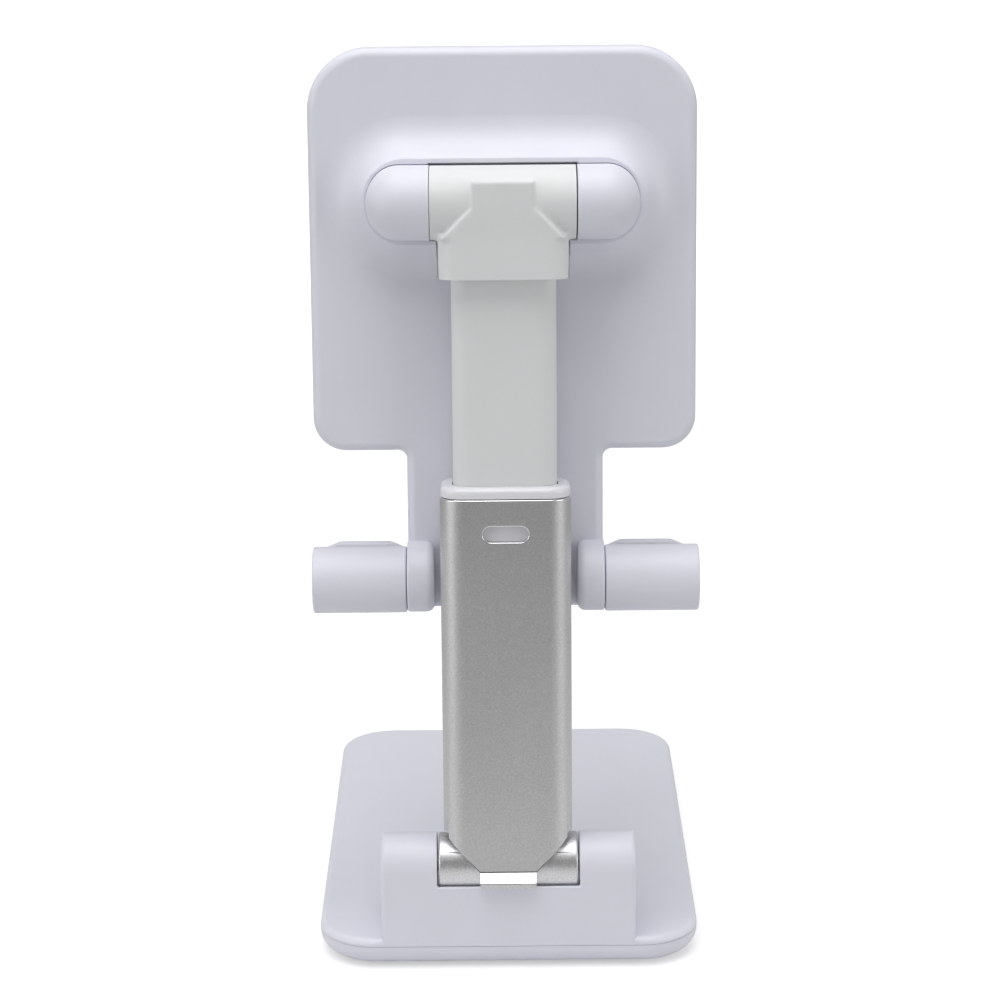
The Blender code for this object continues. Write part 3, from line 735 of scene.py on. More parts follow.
@dataclass
class Workshop:
    """Turns solids into the finished pieces that ride on the stand's bodies."""

    arm: Matrix
    tray_height: float
    hook_axis: Flat

    @classmethod
    def from_frame(cls) -> "Workshop":
        """Reads the arm's place and lean, and the tray's hinge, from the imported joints."""
        joints = {joint["name"]: joint for joint in frame["joints"]}
        foot = Vector(joints["arm_fold"]["pos_m"]) / MM
        top = Vector(joints["tray_tilt"]["pos_m"]) / MM
        lean = math.atan2(foot.y - top.y, top.z - foot.z)
        arm = Matrix.Translation(foot) @ Matrix.Rotation(lean, 4, "X")
        hook = arm.inverted() @ (Vector(joints["left_hook_fold"]["pos_m"]) / MM)
        return cls(arm, (top - foot).length, (hook.y, hook.z))

    def piece(
        self,
        name: str,
        form: Form,
        body: str,
        finishes: Sequence[Finish],
        slot: str,
        stands_for: Sequence[str],
        on_arm: bool = True,
    ) -> bpy.types.Object:
        """Finishes a piece.

        Args:
            name: the piece's name.
            form: its solid, which is used up.
            body: the body that it rides on.
            finishes: its finish, and any that some of its faces were painted with.
            slot: the record's material slot; not used.
            stands_for: the nodes that it stands for.
            on_arm: whether it was drawn in the arm's frame.

        Returns:
            The piece's object.
        """
        if on_arm:
            bmesh.ops.transform(form.mesh, matrix=self.arm, verts=form.mesh.verts)
        bmesh.ops.scale(form.mesh, vec=(MM, MM, MM), verts=form.mesh.verts)
        data = bpy.data.meshes.new(name)
        loose = sum(1 for edge in form.mesh.edges if len(edge.link_faces) != 2)
        form.mesh.to_mesh(data)
        form.mesh.free()
        data.shade_smooth()
        data.set_sharp_from_angle(angle=math.radians(38))
        thing = bpy.data.objects.new(name, data)
        bpy.context.scene.collection.objects.link(thing)
        for finish in finishes:
            data.materials.append(finish.material)
        even = thing.modifiers.new("even_shading", "WEIGHTED_NORMAL")
        even.keep_sharp = True
        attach(thing, body)
        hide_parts(*stands_for)
        LOG.info("%s: %d faces, %d open edges", name, len(data.polygons), loose)
        return thing

    @staticmethod
    def dress(nodes: Sequence[str], finish: Finish) -> None:
        """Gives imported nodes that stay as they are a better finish.

        Args:
            nodes: their names.
            finish: the finish.
        """
        for name in nodes:
            node = frame["nodes"][name]
            if not node.material_slots:
                node.data.materials.append(finish.material)
            for slot in node.material_slots:
                slot.material = finish.material
            LOG.info("%s: kept, in %s", name, finish.value.name)


@dataclass
class Base:
    """The base: a top shell with the hinge block, a bottom cover and a soft foot pad."""

    shop: Workshop
    size: Flat = (80.0, 120.0)
    corner: float = 12.0
    seam: float = 5.35
    seam_gap: float = 0.12
    top: float = 6.9
    top_rim: float = 1.4
    spigot: Point = (3.9, 2.5, 3.7)  # its foot, and how far in its outside and inside are
    pad: Flat = (1.15, 6.85)  # its top, and how far in its edge is
    pad_proud: float = 0.6
    recess: Flat = (1.2, 6.7)  # the same for the recess in the cover
    cover_rim: float = 4.2
    cover_wall: float = 2.2
    screws: Flat = (29.0, 49.0)  # how far the screws are from the middle
    screw_well: float = 2.6
    block_width: float = 53.0
    block_rim: float = 0.9
    ear_radius: float = 6.3
    ear_gap: float = 29.6
    ear_wall: float = 1.6
    slot_radius: float = 6.55
    slot_depth: float = 7.0
    slot_rim: float = 0.35
    rear_wall: float = 18.7
    # X, height, radius and lift of the faint rings on the block
    marks: tuple[tuple[float, ...], ...] = ((17.6, 12.6, 1.5, 0.40), (20.6, 21.0, 0.8, 0.37))
    hinge: Flat = field(init=False)

    def __post_init__(self) -> None:
        """Takes the hinge's place from the arm's frame."""
        place = self.shop.arm.translation
        self.hinge = (place.y, place.z)

    def plate(self, low: float, high: float, inset: float) -> Form:
        """A slice of the base with its round corners."""
        form = Form.slab(Axis.Z, (low, high), rectangle(*self.size, inset=inset))
        return form.round(self.corner - inset, 18, upright)

    def block(self) -> Form:
        """The hinge block, still without the slot between its ears."""
        y, z = self.hinge
        radius = self.ear_radius
        crown = z + radius
        foot = self.seam + self.seam_gap / 2
        half = self.block_width / 2
        rear, front = y + radius, y - radius
        side = [(self.size[1] / 2 - 0.01, foot), (rear, crown), (front, crown), (front, foot)]
        form = Form.slab(Axis.X, (-half, half), side)
        form.round(radius - 0.01, 18, lambda middle, way: along_x(middle, way) and middle.z > crown - 0.1)
        form.round(
            self.block_rim, 5, lambda middle, way: abs(middle.x) > half - TOUCH and middle.z > foot + TOUCH
        )
        return form

    def slot(self) -> Form:
        """What is cut away between the ears for the knuckle."""
        y, z = self.hinge
        half = self.ear_gap / 2
        bowl = Form.rod(Axis.X, (-half, half), self.slot_radius, self.hinge, 96)
        front = Form.block((-half, y - 20.0, z - self.slot_depth), (half, y, z + 15.0))
        over = Form.block((-half, y - 10.0, self.rear_wall), (half, y + 12.0, z + 15.0))
        return bowl.join(front, over)

    def build_shell(self) -> None:
        """Makes the top shell."""
        foot = self.seam + self.seam_gap / 2
        y, z = self.hinge
        form = self.plate(foot, self.top, 0.0)
        form.round(self.top_rim, 6, at("z", self.top, 1))
        form.join(self.block())
        low, outside, inside = self.spigot
        form.join(self.plate(low, foot + 0.3, outside).cut(self.plate(low - 0.9, foot, inside)))
        form.cut(self.slot())
        half = self.ear_gap / 2
        reach = self.ear_radius - 0.4

        def inner_rim(middle: Vector, way: Vector) -> bool:
            """Picks the outer rims of the slot."""
            off = math.hypot(middle.y - y, middle.z - z)
            on_ear = abs(abs(middle.x) - half) < 0.02 and middle.z > self.rear_wall and off > reach
            on_wall = abs(middle.z - self.rear_wall) < 0.02 and middle.y > y + self.ear_radius - 0.3
            return on_ear or on_wall

        form.round(self.slot_rim, 3, inner_rim)
        inner = self.ear_radius - self.ear_wall
        for side in Side:
            low, high = side.span(half + self.ear_wall, self.block_width / 2 - self.ear_wall)
            hollow = Form.rod(Axis.X, (low, high), inner, self.hinge)
            hollow.join(Form.block((low, y - inner, 2.0), (high, y + inner, z)))
            form.cut(hollow)
        for x, height, radius, lift in self.marks:
            form.cut(Form.rod(Axis.Y, (y + 6.0, y + 9.0), radius, (x, height), 32).moved((0.0, lift, 0.0)))
        names = ["base_top_shell"]
        self.shop.piece("base_shell", form, "base", [Finish.SHELL], "base_shell", names, on_arm=False)

    def build_cover(self) -> None:
        """Makes the bottom cover with its rounded-in rim, and the foot pad in its recess."""
        form = self.plate(self.pad_proud, self.seam - self.seam_gap / 2, 0.0)
        form.round(self.cover_rim, 12, at("z", self.pad_proud, -1))
        form.cut(self.plate(self.cover_wall, 9.0, self.cover_wall), self.plate(-1.0, *self.recess))
        x, y = self.screws
        for place in ((-x, -y), (-x, y), (x, -y), (x, y)):
            form.cut(Form.rod(Axis.Z, (-1.0, 4.0), self.screw_well, place, 40))
        names = ["base_bottom_cover"]
        self.shop.piece("base_cover", form, "base", [Finish.SHELL], "base_shell", names, on_arm=False)
        pad = self.plate(0.0, *self.pad).round(0.25, 3, at("z", 0.0, -1))
        self.shop.piece("foot_pad", pad, "base", [Finish.GRIP], "soft_pad", ["base_pad"], on_arm=False)

    def build(self) -> None:
        """Makes the pieces of the base."""
        self.build_shell()
        self.build_cover()


@dataclass
class LowerArm:
    """The knuckle in the hinge block, the outer tube on it, and the collar in the tube's top."""

    shop: Workshop
    knuckle_radius: float = 6.2
    knuckle_length: float = 29.0
    tube: Flat = (26.7, 13.2)
    tube_corner: Flat = (5.0, 4.4)
    wall: float = 1.3
    plug_top: float = 15.4
    plug_gap: float = 0.2
    seat_gap: float = 0.15
    pin_bore: float = 2.3
    foot: float = 7.9
    top: float = 78.6
    tip: float = -0.1
    tongue_width: float = 11.7
    lug: tuple[Flat, float] = ((8.2, -2.15), -3.3)  # the foot of its slope, and its lower edge
    latch_height: float = 71.5
    latch: Flat = (9.3, 3.3)
    latch_rim: float = 0.22
    tab: Point = (4.3, 5.1, -0.50)  # where it starts and ends, and how much larger than its hole it is
    collar_foot: float = 66.0
    collar_top: float = 81.0
    collar_rim: float = 1.15
    bore: Flat = (21.1, 8.0)
    bore_corner: Flat = (3.6, 3.2)

    def outline(self, low: float, high: float, inset: float) -> Form:
        """A slice of the tube's outside, or of a shape inside it.

        Args:
            low: its lower end.
            high: its upper end.
            inset: how far it is inside the tube's outside.

        Returns:
            The slice.
        """
        size = (self.tube[0] - 2 * inset, self.tube[1] - 2 * inset)
        corner = (self.tube_corner[0] - inset, self.tube_corner[1] - inset)
        return Form.oblong((low, high), size, corner)

    def latch_shape(self, span: Flat, grow: float) -> Form:
        """The oblong of the latch with its round ends.

        Args:
            span: its start and end towards the rear.
            grow: how much larger it is all round than the hole in the tube.

        Returns:
            The solid.
        """
        length, height = (measure + 2 * grow for measure in self.latch)
        form = Form.slab(Axis.Y, span, rectangle(length, height, (0.0, self.latch_height)))
        return form.round(height / 2 - 0.01, 12, along_y)

    def tongue_side(self, side: Side) -> Form:
        """What the V cut takes away beside the tongue.

        Args:
            side: the side of the tongue.

        Returns:
            The solid.
        """
        tip, edge = self.tongue_width / 2, self.tube[0] / 2 + 1.0
        slope = (self.foot - self.tip) / (self.tube[0] / 2 - tip)
        low = self.tip - 1.0
        corners = [(tip, low), (tip, self.tip), (edge, self.foot + slope), (edge, low)]
        return Form.slab(Axis.Y, (0.0, 9.0), [(side.value * x, z) for x, z in corners])

    def build_tube(self) -> None:
        """Makes the aluminium tube with its tongue, latch hole and bright cut rims."""
        rear = self.tube[1] / 2
        form = self.outline(self.tip, self.top, 0.0).cut(self.outline(-9.0, 99.0, self.wall))
        inner = rear - self.wall - 0.4
        form.cut(Form.block((-20.0, -20.0, -9.0), (20.0, inner, self.foot)))
        for side in Side:
            form.cut(self.tongue_side(side))
        form.cut(self.latch_shape((0.0, 9.0), 0.0))

        def latch_rim(middle: Vector, way: Vector) -> bool:
            """Picks the outer rim of the latch hole."""
            near = abs(middle.z - self.latch_height) < 2.5 and abs(middle.x) < 6.0
            return near and abs(middle.y - rear) < 0.02

        def top_rim(middle: Vector, way: Vector) -> bool:
            """Picks the outer rim at the top."""
            off = max(abs(middle.x) - self.tube[0] / 2 + 5.0, abs(middle.y) - rear + 4.4)
            return middle.z > self.top - 0.01 and off > 3.3

        form.round(self.latch_rim, 3, latch_rim)
        form.round(0.28, 3, top_rim)
        form.round(0.15, 2, lambda middle, way: middle.z < 20.0 and middle.y > inner)

        def bright(middle: Vector, normal: Vector) -> bool:
            """Picks the cut rims of the latch hole and the top."""
            tilted = normal.y < 0.97
            in_latch = abs(middle.z - self.latch_height) < 2.3 and abs(middle.x) < 5.3
            at_latch = in_latch and tilted and middle.y > rear - 0.25 and normal.y > 0.05
            at_top = middle.z > self.top - 0.30 and normal.z > 0.15
            return at_latch or at_top

        form.paint(1, bright)
        finishes = [Finish.TUBE, Finish.BRIGHT]
        self.shop.piece("arm_tube", form, "lower_arm", finishes, "tube", ["outer_tube"])

    def build_knuckle(self) -> None:
        """Makes the cast knuckle with the stop lug under the tongue."""
        rear = self.tube[1] / 2
        half = self.knuckle_length / 2
        low = self.tip - self.seat_gap
        form = Form.rod(Axis.X, (-half, half), self.knuckle_radius, steps=96)
        form.round(0.45, 3, lambda middle, way: abs(middle.x) > half - TOUCH)
        neck = Form.slab(Axis.Z, (-1.0, self.foot - 0.2), rectangle(20.0, 11.4, (0.0, -0.6)))
        plug = self.outline(3.0, self.plug_top, self.wall + self.plug_gap)
        form.join(neck.round(1.5, 5, upright), plug)
        reach = self.tongue_width / 2
        tip, edge = reach + self.seat_gap, self.tube[0] / 2 + self.seat_gap
        seat = [(-tip, low), (tip, low), (edge, self.foot), (-edge, self.foot)]
        form.cut(Form.slab(Axis.Y, (rear - self.wall - self.seat_gap, 9.0), seat))
        step, under = self.lug
        side = [(3.0, low), (rear + 0.1, low), step, (step[0], under), (3.0, under)]
        lug = Form.slab(Axis.X, (-reach, reach), side)
        lug.round(0.6, 5, lambda middle, way: along_y(middle, way) and middle.z < under + TOUCH)
        lug.round(0.14, 2, lambda middle, way: middle.y > rear and middle.z > under + 0.3)
        form.join(lug)
        form.cut(Form.rod(Axis.X, (-half - 1, half + 1), self.pin_bore, steps=32))

        def ramp(middle: Vector, normal: Vector) -> bool:
            """Picks the cut slope of the lug."""
            slope = Vector((0.0, 1.0, 1.0)).normalized()
            return middle.y > rear - 0.1 and abs(middle.x) < reach - 0.1 and normal.dot(slope) > 0.97

        form.paint(1, ramp)
        finishes = [Finish.CAST, Finish.BRIGHT]
        self.shop.piece("knuckle", form, "lower_arm", finishes, "knuckle", ["hinge_knuckle"])

    def build_collar(self) -> None:
        """Makes the glossy collar, whose tab clicks into the latch hole."""
        lip = self.outline(self.top + 0.12, self.collar_top, 0.15)
        lip.round(self.collar_rim, 6, at("z", self.collar_top, 1))
        lip.round(0.2, 2, at("z", self.top + 0.12, -1))
        inner, outer, grow = self.tab
        lip.join(
            self.outline(self.collar_foot, self.top + 0.5, self.wall + 0.15),
            self.latch_shape((inner, outer), grow),
        )
        width, depth = (measure + 0.3 for measure in self.bore)
        lip.cut(Form.oblong((60.0, 90.0), (width, depth), self.bore_corner))
        lip.round(0.25, 2, at("z", self.collar_top, 1))
        self.shop.piece("arm_collar", lip, "lower_arm", [Finish.GLOSS], "collar", ["tube_collar"])

    def build(self) -> None:
        """Makes the pieces of the lower arm."""
        self.build_knuckle()
        self.build_tube()
        self.build_collar()


@dataclass
class UpperArm:
    """The inner tube, and the head on it with its hinge barrel and stop block."""

    shop: Workshop
    tube: Flat = (21.1, 8.0)
    tube_corner: Flat = (3.6, 3.2)
    wall: float = 1.2
    tube_span: Flat = (58.5, 129.4)
    head_foot: float = 123.4
    shoulder: float = 132.4
    head_width: float = 26.1
    head_depth: Flat = (-7.0, 7.6)
    head_corner: float = 3.6
    barrel: Flat = (7.4, 29.1)
    stop_width: float = 12.4
    stop_rear: float = 8.0
    stop_rise: float = 5.0
    slope: Flat = (1.0, 0.4)  # how far under the shoulder it starts, and under the hinge it ends
    foot_corner: float = 3.9
    spare: float = 1.2  # how much too long the head is before its ends are cut flat

    def build_tube(self) -> None:
        """Makes the inner tube."""
        form = Form.oblong(self.tube_span, self.tube, self.tube_corner)
        inner = tuple(measure - 2 * self.wall for measure in self.tube)
        corner = tuple(reach - self.wall for reach in self.tube_corner)
        form.cut(Form.oblong((50.0, 140.0), inner, corner))
        form.round(0.2, 2, anywhere, least=60.0)
        self.shop.piece("slider_tube", form, "upper_arm", [Finish.ARM], "arm_white", ["inner_tube"])

    def build_head(self) -> None:
        """Makes the head as one soft moulding, cut flat where it meets its neighbours."""
        front, rear = self.head_depth
        height = self.shop.tray_height
        radius, length = self.barrel
        middle = (0.0, (front + rear) / 2)
        low = self.head_foot - self.spare
        plan = rectangle(self.head_width, rear - front, middle)
        collar = Form.slab(Axis.Z, (low, self.shoulder), plan)
        foot, top = self.shoulder - self.slope[0], height - self.slope[1]
        side_view = [(front, foot), (rear, foot), (self.stop_rear, top), (front, top)]
        crown = Form.slab(Axis.X, (-0.5, 0.5), side_view)
        for width, above in ((self.stop_width, True), (self.head_width - 0.6, False)):
            level = [vert for vert in crown.mesh.verts if (vert.co.z > self.shoulder) == above]
            bmesh.ops.scale(crown.mesh, vec=(width, 1.0, 1.0), verts=level)
        collar.round(self.head_corner, 12, upright)

        def bottom(middle: Vector, way: Vector) -> bool:
            """Picks the lower edges at the sides."""
            return along_y(middle, way) and middle.z < low + TOUCH

        collar.round(self.foot_corner, 10, bottom, least=10.0)
        half = length / 2
        barrel = Form.rod(Axis.X, (-half - self.spare, half + self.spare), radius, (0.0, height), 96)
        reach = self.stop_width / 2
        stop = Form.block((-reach, 0.0, height), (reach, self.stop_rear, height + self.stop_rise))
        collar.join(crown, barrel, stop).soften(0.28, 15)
        for side in Side:
            collar.cut_flat((side.value * half, 0.0, 0.0), (side.value, 0.0, 0.0))
        collar.cut_flat((0.0, 0.0, self.head_foot), (0.0, 0.0, -1.0))
        width, depth = (measure + 0.16 for measure in self.tube)
        span = (self.head_foot - 2.0, self.tube_span[1] + 0.2)
        socket = Form.oblong(span, (width, depth), self.tube_corner)
        collar.cut(socket)
        self.shop.piece("arm_head", collar, "upper_arm", [Finish.ARM], "arm_white", ["head"])

    def build(self) -> None:
        """Makes the pieces of the upper arm."""
        self.build_tube()
        self.build_head()


@dataclass
class Tray:
    """The tray: a back shell with a seat for the hinge, its front panel, a soft pad and two hinge caps."""

    shop: Workshop
    width: float = 78.6
    neck: float = 40.4
    top: float = 30.26
    shoulder: float = -51.9
    foot: float = -85.2
    corners: tuple[float, ...] = (12.5, 6.8, 1.9, 2.5)  # at the top, shoulders, neck and foot
    back: float = -7.5
    front: float = -13.0
    ledge: float = -11.2
    pad_front: float = -14.1
    rim: float = 1.9
    capsule: Flat = (54.9, 7.5)
    dome: float = 0.88
    foot_of_seat: float = 17.5
    rim_of_seat: Flat = (8.75, -1.2)  # its distance from the hinge, and its depth
    seat_half: float = 19.5
    barrel_half: float = 14.55
    slot: Flat = (13.4, -17.4)  # half its width, and its lower end
    cap_gaps: Flat = (0.10, 0.26)  # between the head and the right and the left cap
    pad_inset: float = 3.2
    groove: Point = (0.25, 5.6, 6.3)  # its depth, and how far in its two sides are
    ear_span: Flat = (14.75, 20.35)
    ear_radius: float = 7.4
    ear_lift: float = 0.65
    ear_bevel: float = 1.7

    def outline(self, low: float, high: float, inset: float) -> Form:
        """A slice of the tray, at the height of its hinge.

        Args:
            low: its front.
            high: its rear.
            inset: how far its outline is inside the tray's.

        Returns:
            The slice.
        """
        x, neck = self.width / 2 - inset, self.neck / 2 - inset
        top, shoulder, foot = self.top - inset, self.shoulder + inset, self.foot + inset
        right = [(x, top), (x, shoulder), (neck, shoulder), (neck, foot)]
        left = [(-a, b) for a, b in reversed(right)]
        form = Form.slab(Axis.Y, (low, high), right + left)
        at_top, at_shoulder, at_neck, at_foot = self.corners
        for radius, hit in (
            (at_top - inset, lambda m: m.z > top - TOUCH),
            (at_shoulder - inset, lambda m: abs(m.z - shoulder) < TOUCH and abs(m.x) > x - TOUCH),
            (at_neck + inset, lambda m: abs(m.z - shoulder) < TOUCH and abs(abs(m.x) - neck) < TOUCH),
            (at_foot - min(inset, 2.0), lambda m: m.z < foot + TOUCH),
        ):
            form.round(radius, 14, lambda middle, way, hit=hit: along_y(middle, way) and hit(middle))
        return form

    def seat(self) -> Form:
        """The swelling of the back round the hinge caps, whose slope dies away into the plate."""
        reach, (over, rim_level) = self.foot_of_seat, self.rim_of_seat
        rise = rim_level - self.back
        steps = 16
        profile = [(reach, self.back - 1.0)]
        for step in range(steps + 1):
            share = step / steps
            out = over + (reach - over) * (1 - share)
            profile.append((out, self.back - 0.02 + rise * self.swell(share)))
        return Form.mound(profile, self.seat_half)

    @staticmethod
    def swell(share: float) -> float:
        """How high the swelling is, from its foot at 0 to its rim at 1."""
        return share**2 * (0.55 + 0.45 * share**3)

    def cap_solid(self, grow: float = 0.0) -> Form:
        """The round-ended bar that both hinge caps are parts of.

        Args:
            grow: how much larger it is.

        Returns:
            The bar.
        """
        length, radius = self.capsule
        end, radius = length / 2 + grow, radius + grow
        dome = radius * self.dome
        turns = [math.pi / 2 * step / 16 for step in range(17)]
        right = [(end - dome + dome * math.sin(turn), radius * math.cos(turn)) for turn in turns[:-1]]
        right.append((end, 0.0))
        left = [(-along, across) for along, across in reversed(right)]
        return Form.turned(left + right, 96)

    def build_shell(self) -> None:
        """Makes the back shell with the seat and the two ears for the hooks."""
        form = self.outline(self.front, self.back, 0.0)
        form.round(self.rim, 8, at("y", self.back, 1)).round(0.4, 3, at("y", self.front, -1))
        form.join(self.seat())
        hook_y, hook_z = self.shop.hook_axis[0], self.shop.hook_axis[1] - self.shop.tray_height
        near, far = self.ear_span
        for side in Side:
            place = (hook_y, hook_z + self.ear_lift)
            ear = Form.rod(Axis.X, side.span(near, far), self.ear_radius, place, 96)
            ear.round(self.ear_bevel, 7, at("x", side.value * near))
            ear.round(0.4, 3, at("x", side.value * far))
            form.join(ear.cut_flat((0.0, self.front + 0.01, 0.0), (0.0, -1.0, 0.0)))
        half = self.barrel_half + 0.35
        reach, low = self.slot
        form.cut(
            self.cap_solid(0.16),
            Form.rod(Axis.X, (-half, half), self.capsule[1] + 0.40, steps=96),
            Form.block((-reach, self.back - 0.01, low), (reach, 12.0, 0.0)),
            self.outline(self.front - 3.0, self.ledge, 1.6),
        )

        def seat_rim(middle: Vector, way: Vector) -> bool:
            """Picks the rim of the seat."""
            return middle.y > self.back + 2.0 and abs(middle.z) < 12.0

        form.round(0.22, 2, seat_rim, least=40.0)
        form.moved((0.0, 0.0, self.shop.tray_height))
        self.shop.piece("tray_shell", form, "tray", [Finish.SHELL], "tray_shell", ["tray_back_shell"])

    def build_front(self) -> None:
        """Makes the front panel, and the soft pad that the phone leans on."""
        lift = (0.0, 0.0, self.shop.tray_height)
        panel = self.outline(self.front, self.ledge - 0.1, 1.72)
        panel.round(0.25, 2, at("y", self.front, -1)).moved(lift)
        finishes = [Finish.SHELL]
        self.shop.piece("tray_front", panel, "tray", finishes, "tray_shell", ["tray_front_panel"])
        pad = self.outline(self.pad_front, self.front - 0.02, self.pad_inset)
        pad.round(0.45, 4, at("y", self.pad_front, -1))
        depth, outside, inside = self.groove
        groove = self.outline(self.pad_front - 1.0, self.pad_front + depth, outside)
        groove.cut(self.outline(self.pad_front - 2.0, self.pad_front + 2.0, inside))
        pad.cut(groove).moved(lift)
        self.shop.piece("tray_soft_pad", pad, "tray", [Finish.SOFT], "soft_pad", ["tray_pad"])

    def build_caps(self) -> None:
        """Makes the two hinge caps."""
        for side, gap in zip(reversed(Side), self.cap_gaps):
            near = side.value * (self.barrel_half + gap)
            form = self.cap_solid().cut_flat((near, 0.0, 0.0), (-side.value, 0.0, 0.0))
            form.round(0.25, 3, at("x", near))
            form.moved((0.0, 0.0, self.shop.tray_height))
            names = [f"hinge_cap_{side.word}"]
            self.shop.piece(f"tray_cap_{side.word}", form, "tray", [Finish.SHELL], "hinge_caps", names)

    def build(self) -> None:
        """Makes the pieces of the tray."""
        self.build_shell()
        self.build_front()
        self.build_caps()


@dataclass
class Hook:
    """A folding hook: a barrel, a flat arm to the front, and a lip that holds the phone's lower edge."""

    shop: Workshop
    side: Side
    span: Flat = (20.5, 39.9)
    radius: float = 6.9
    reach: float = 25.0
    floor: float = 2.6
    lip_thick: float = 2.4
    lip_top: float = 2.7
    lip_corner: Flat = (4.2, 2.4)
    bends: Point = (2.4, 1.1, 0.9)  # under the tip, inside the lip, and on top of the lip
    slope_end: float = -5.5
    pad_middle: float = -13.6
    pad: Point = (16.05, 11.6, 0.8)

    def build(self) -> None:
        """Makes the hook and its pad."""
        low, high = self.side.span(*self.span)
        foot = 0.25 - self.radius
        floor = foot + self.floor
        inside = self.lip_thick - self.reach
        form = Form.rod(Axis.X, (low, high), self.radius, steps=96)
        centre = (low + high) / 2
        form.round(0.42, 3, lambda middle, way: abs(middle.x - centre) > 9.0)
        side_view = [
            (0.0, foot),
            (0.0, floor + 1.5),
            (self.slope_end, floor),
            (inside, floor),
            (inside, self.lip_top),
            (-self.reach, self.lip_top),
            (-self.reach, foot),
        ]
        arm = Form.slab(Axis.X, (low + 0.15, high - 0.15), side_view)
        hits = (
            lambda m: m.y < TOUCH - self.reach and m.z < foot + TOUCH,
            lambda m: abs(m.y - inside) < TOUCH and m.z < floor + TOUCH,
            lambda m: m.z > self.lip_top - TOUCH,
        )
        for radius, hit in zip(self.bends, hits):
            arm.round(radius, 7, lambda middle, way, hit=hit: along_x(middle, way) and hit(middle))
        for x, inward in ((low + 0.15, 1), (high - 0.15, -1)):
            wedge = [
                (x + inward * self.lip_corner[0], self.lip_top + 0.01),
                (x - inward * 1.0, self.lip_top - self.lip_corner[1]),
                (x - inward * 1.0, self.lip_top + 1.0),
            ]
            arm.cut(Form.slab(Axis.Y, (-self.reach - 1.0, inside + 0.4), wedge))
        arm.round(0.3, 2, lambda middle, way: middle.y < -5.6, least=35.0)
        form.join(arm)
        y, z = self.shop.hook_axis
        word = self.side.word
        body = f"{word}_hook"
        form.moved((0.0, y, z))
        self.shop.piece(f"tray_hook_{word}", form, body, [Finish.SHELL], "hook", [f"hook_{word}"])
        width, length, thick = self.pad
        plan = rectangle(width, length, (centre, self.pad_middle))
        bed = Form.slab(Axis.Z, (floor - 0.02, floor + thick), plan)
        bed.round(1.5, 6, upright).round(0.25, 3, at("z", floor + thick, 1))
        bed.moved((0.0, y, z))
        names = [f"hook_pad_{word}"]
        self.shop.piece(f"hook_rest_{word}", bed, body, [Finish.SOFT], "soft_pad", names)


class Hardware:
    """The inner pieces that stay as they are packed, in steel and plastic finishes."""

    STEEL = (
        "base_screw_1", "base_screw_2", "base_screw_3", "base_screw_4",
        "bracket_screw_left", "bracket_screw_right", "hinge_bracket", "hinge_pin",
        "hinge_spring_washer", "hinge_nut", "tray_hinge_pin", "tray_hinge_washer_left",
        "tray_hinge_washer_right", "cap_screw_left", "cap_screw_right", "tray_screw_1",
        "tray_screw_2", "tray_screw_3", "tray_screw_4", "hook_pin_left", "hook_pin_right",
    )

    def build(self) -> None:
        """Dresses the kept pieces."""
        Workshop.dress(self.STEEL, Finish.STEEL)
        Workshop.dress(["base_weight"], Finish.PLATE)
        Workshop.dress(["slide_shoe"], Finish.ARM)


# Studio


@dataclass
class Softbox:
    """A soft rectangular light that faces the stand."""

    name: str
    place: Point
    size: Flat
    power: float
    target: Point = (0.0, 0.02, 0.09)

    def build(self) -> None:
        """Makes the light."""
        data = bpy.data.lights.new(self.name, "AREA")
        data.shape = "RECTANGLE"
        data.size, data.size_y = self.size
        data.energy = self.power
        light = bpy.data.objects.new(self.name, data)
        light.location = self.place
        way = Vector(self.target) - Vector(self.place)
        light.rotation_euler = way.to_track_quat("-Z", "Y").to_euler()
        bpy.context.scene.collection.objects.link(light)


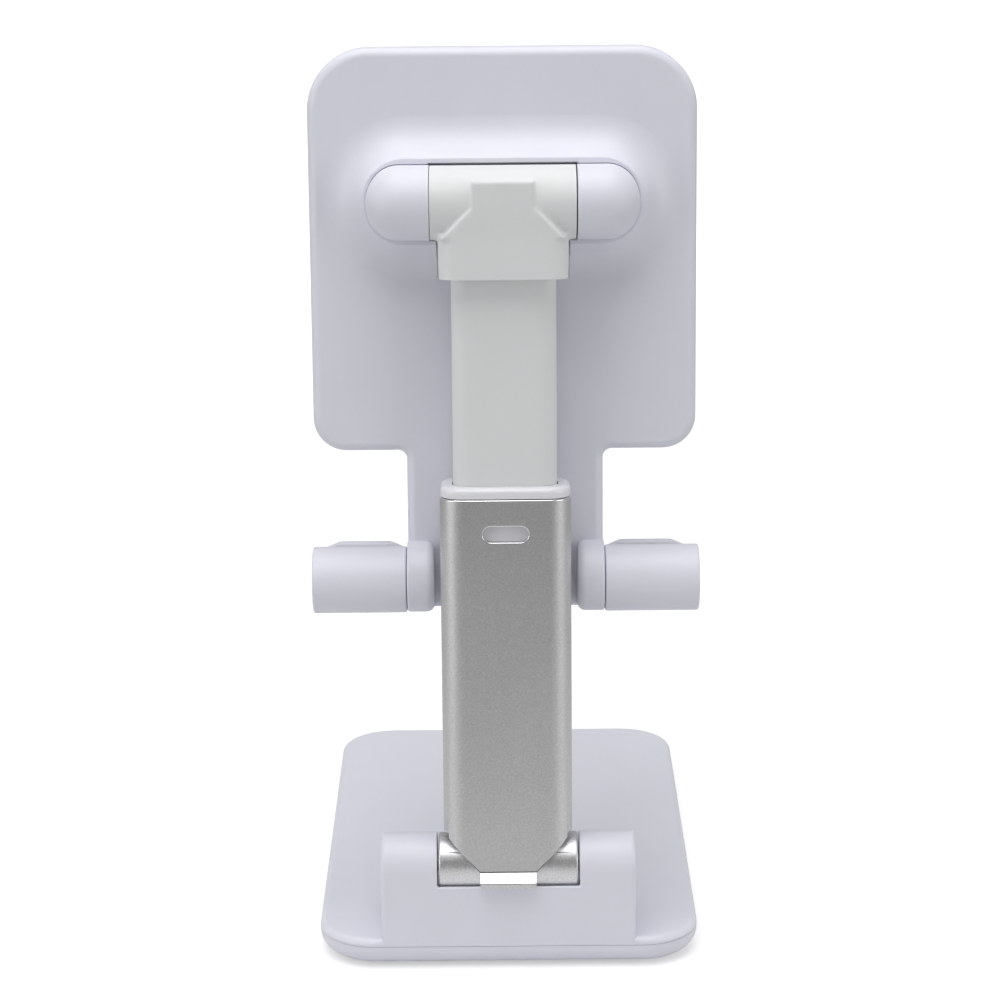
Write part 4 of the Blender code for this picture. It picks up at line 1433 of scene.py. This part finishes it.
@dataclass
class Studio:
    """A pale floor, soft light, and a camera behind the stand and a little above it."""

    camera_place: Point = (0.00108, 0.6041, 0.2692)
    pitch: float = 17.0
    roll: float = -0.50
    lens: float = 102.95
    sky: float = 0.37
    room: float = 0.10
    floor_white: float = 0.80
    floor_glow: Flat = (0.42, 1.10)  # near the stand, and far away
    floor_far: float = 0.50  # what share of its whiteness the floor has far away: painted shade, so that less light comes back from far off

    def build_camera(self) -> None:
        """Places the camera."""
        data = bpy.data.cameras.new("camera")
        data.lens = self.lens
        data.sensor_width = 36.0
        data.clip_start = 0.01
        data.clip_end = 20.0
        camera = bpy.data.objects.new("camera", data)
        turn = Matrix.Rotation(math.pi, 4, "Z") @ Matrix.Rotation(math.radians(90 - self.pitch), 4, "X")
        turn = turn @ Matrix.Rotation(math.radians(self.roll), 4, "Z")
        camera.matrix_world = Matrix.Translation(self.camera_place) @ turn
        bpy.context.scene.collection.objects.link(camera)
        bpy.context.scene.camera = camera

    def build_floor(self) -> None:
        """Makes the floor, with the faint clouding of painted board, and painted shade that darkens it away
        from the stand.
        """
        mesh = bmesh.new()
        bmesh.ops.create_grid(mesh, x_segments=2, y_segments=2, size=3.0)
        data = bpy.data.meshes.new("floor")
        mesh.to_mesh(data)
        mesh.free()
        floor = bpy.data.objects.new("floor", data)
        bpy.context.scene.collection.objects.link(floor)
        recipe = Recipe("white_board")
        white = (self.floor_white,) * 3
        away = recipe.add("ShaderNodeVectorMath", {"operation": "LENGTH"}, {0: recipe.place}, "Value")
        # painted shade: the floor's whiteness falls off away from the stand, with a faint clouding on top
        painted_shade_and_clouding = recipe.ramp(away, 0.10, 0.45) + recipe.noise(0.01) * 0.01
        recipe.drive("Base Color", recipe.between(painted_shade_and_clouding, white, shade(white, self.floor_far)))
        recipe.drive("Roughness", 0.9)
        recipe.drive("Specular IOR Level", 0.0)
        path = recipe.add("ShaderNodeLightPath", output="Is Camera Ray")
        near, far = (value / self.floor_glow[1] for value in self.floor_glow)
        glow = path * (near + (far - near) * recipe.ramp(away, 0.10, 0.60))
        recipe.drive("Emission Color", recipe.between(glow, (0.0, 0.0, 0.0), (1.0, 1.0, 1.0)))
        recipe.drive("Emission Strength", self.floor_glow[1])
        data.materials.append(recipe.material)

    def build_sky(self) -> None:
        """Makes the white surroundings, which are dimmer on the camera's side of the room."""
        world = bpy.data.worlds.new("studio")
        world.use_nodes = True
        bpy.context.scene.world = world
        tree = world.node_tree
        shader = tree.nodes["Background"]
        place = tree.nodes.new("ShaderNodeTexCoord")
        split = tree.nodes.new("ShaderNodeSeparateXYZ")
        tree.links.new(place.outputs["Generated"], split.inputs[0])
        towards = Wire(tree, split.outputs["Y"])
        height = Wire(tree, split.outputs["Z"])
        spread = tree.nodes.new("ShaderNodeMapRange")
        spread.interpolation_type = "SMOOTHSTEP"
        for slot, value in zip(spread.inputs, (towards - height * 0.7, -0.35, 0.75, self.sky, self.room)):
            feed(tree, slot, value)
        path = tree.nodes.new("ShaderNodeLightPath")
        seen = Wire(tree, path.outputs["Is Camera Ray"])
        strength = seen * 1.2 + (1 - seen) * Wire(tree, spread.outputs[0])
        feed(tree, shader.inputs["Strength"], strength)
        shader.inputs["Color"].default_value = (1.0, 1.0, 1.0, 1.0)

    def build(self) -> None:
        """Makes the studio."""
        bpy.context.scene.view_settings.view_transform = "Standard"
        self.build_camera()
        self.build_floor()
        self.build_sky()
        Softbox("left_box", (-0.75, 0.45, 0.28), (0.5, 0.5), 1.6).build()
        Softbox("right_box", (0.75, 0.45, 0.28), (0.5, 0.5), 1.7).build()
        Softbox("top_box", (0.06, 0.17, 0.90), (0.7, 0.9), 5.3).build()


def write_sizes() -> None:
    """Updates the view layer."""
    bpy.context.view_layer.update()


def main() -> None:
    """Builds the stand and its studio."""
    logging.basicConfig(level=logging.INFO, format="%(message)s")
    shop = Workshop.from_frame()
    Base(shop).build()
    LowerArm(shop).build()
    UpperArm(shop).build()
    Tray(shop).build()
    for side in Side:
        Hook(shop, side).build()
    Hardware().build()
    Studio().build()
    write_sizes()


if __name__ == "__main__":
    main()
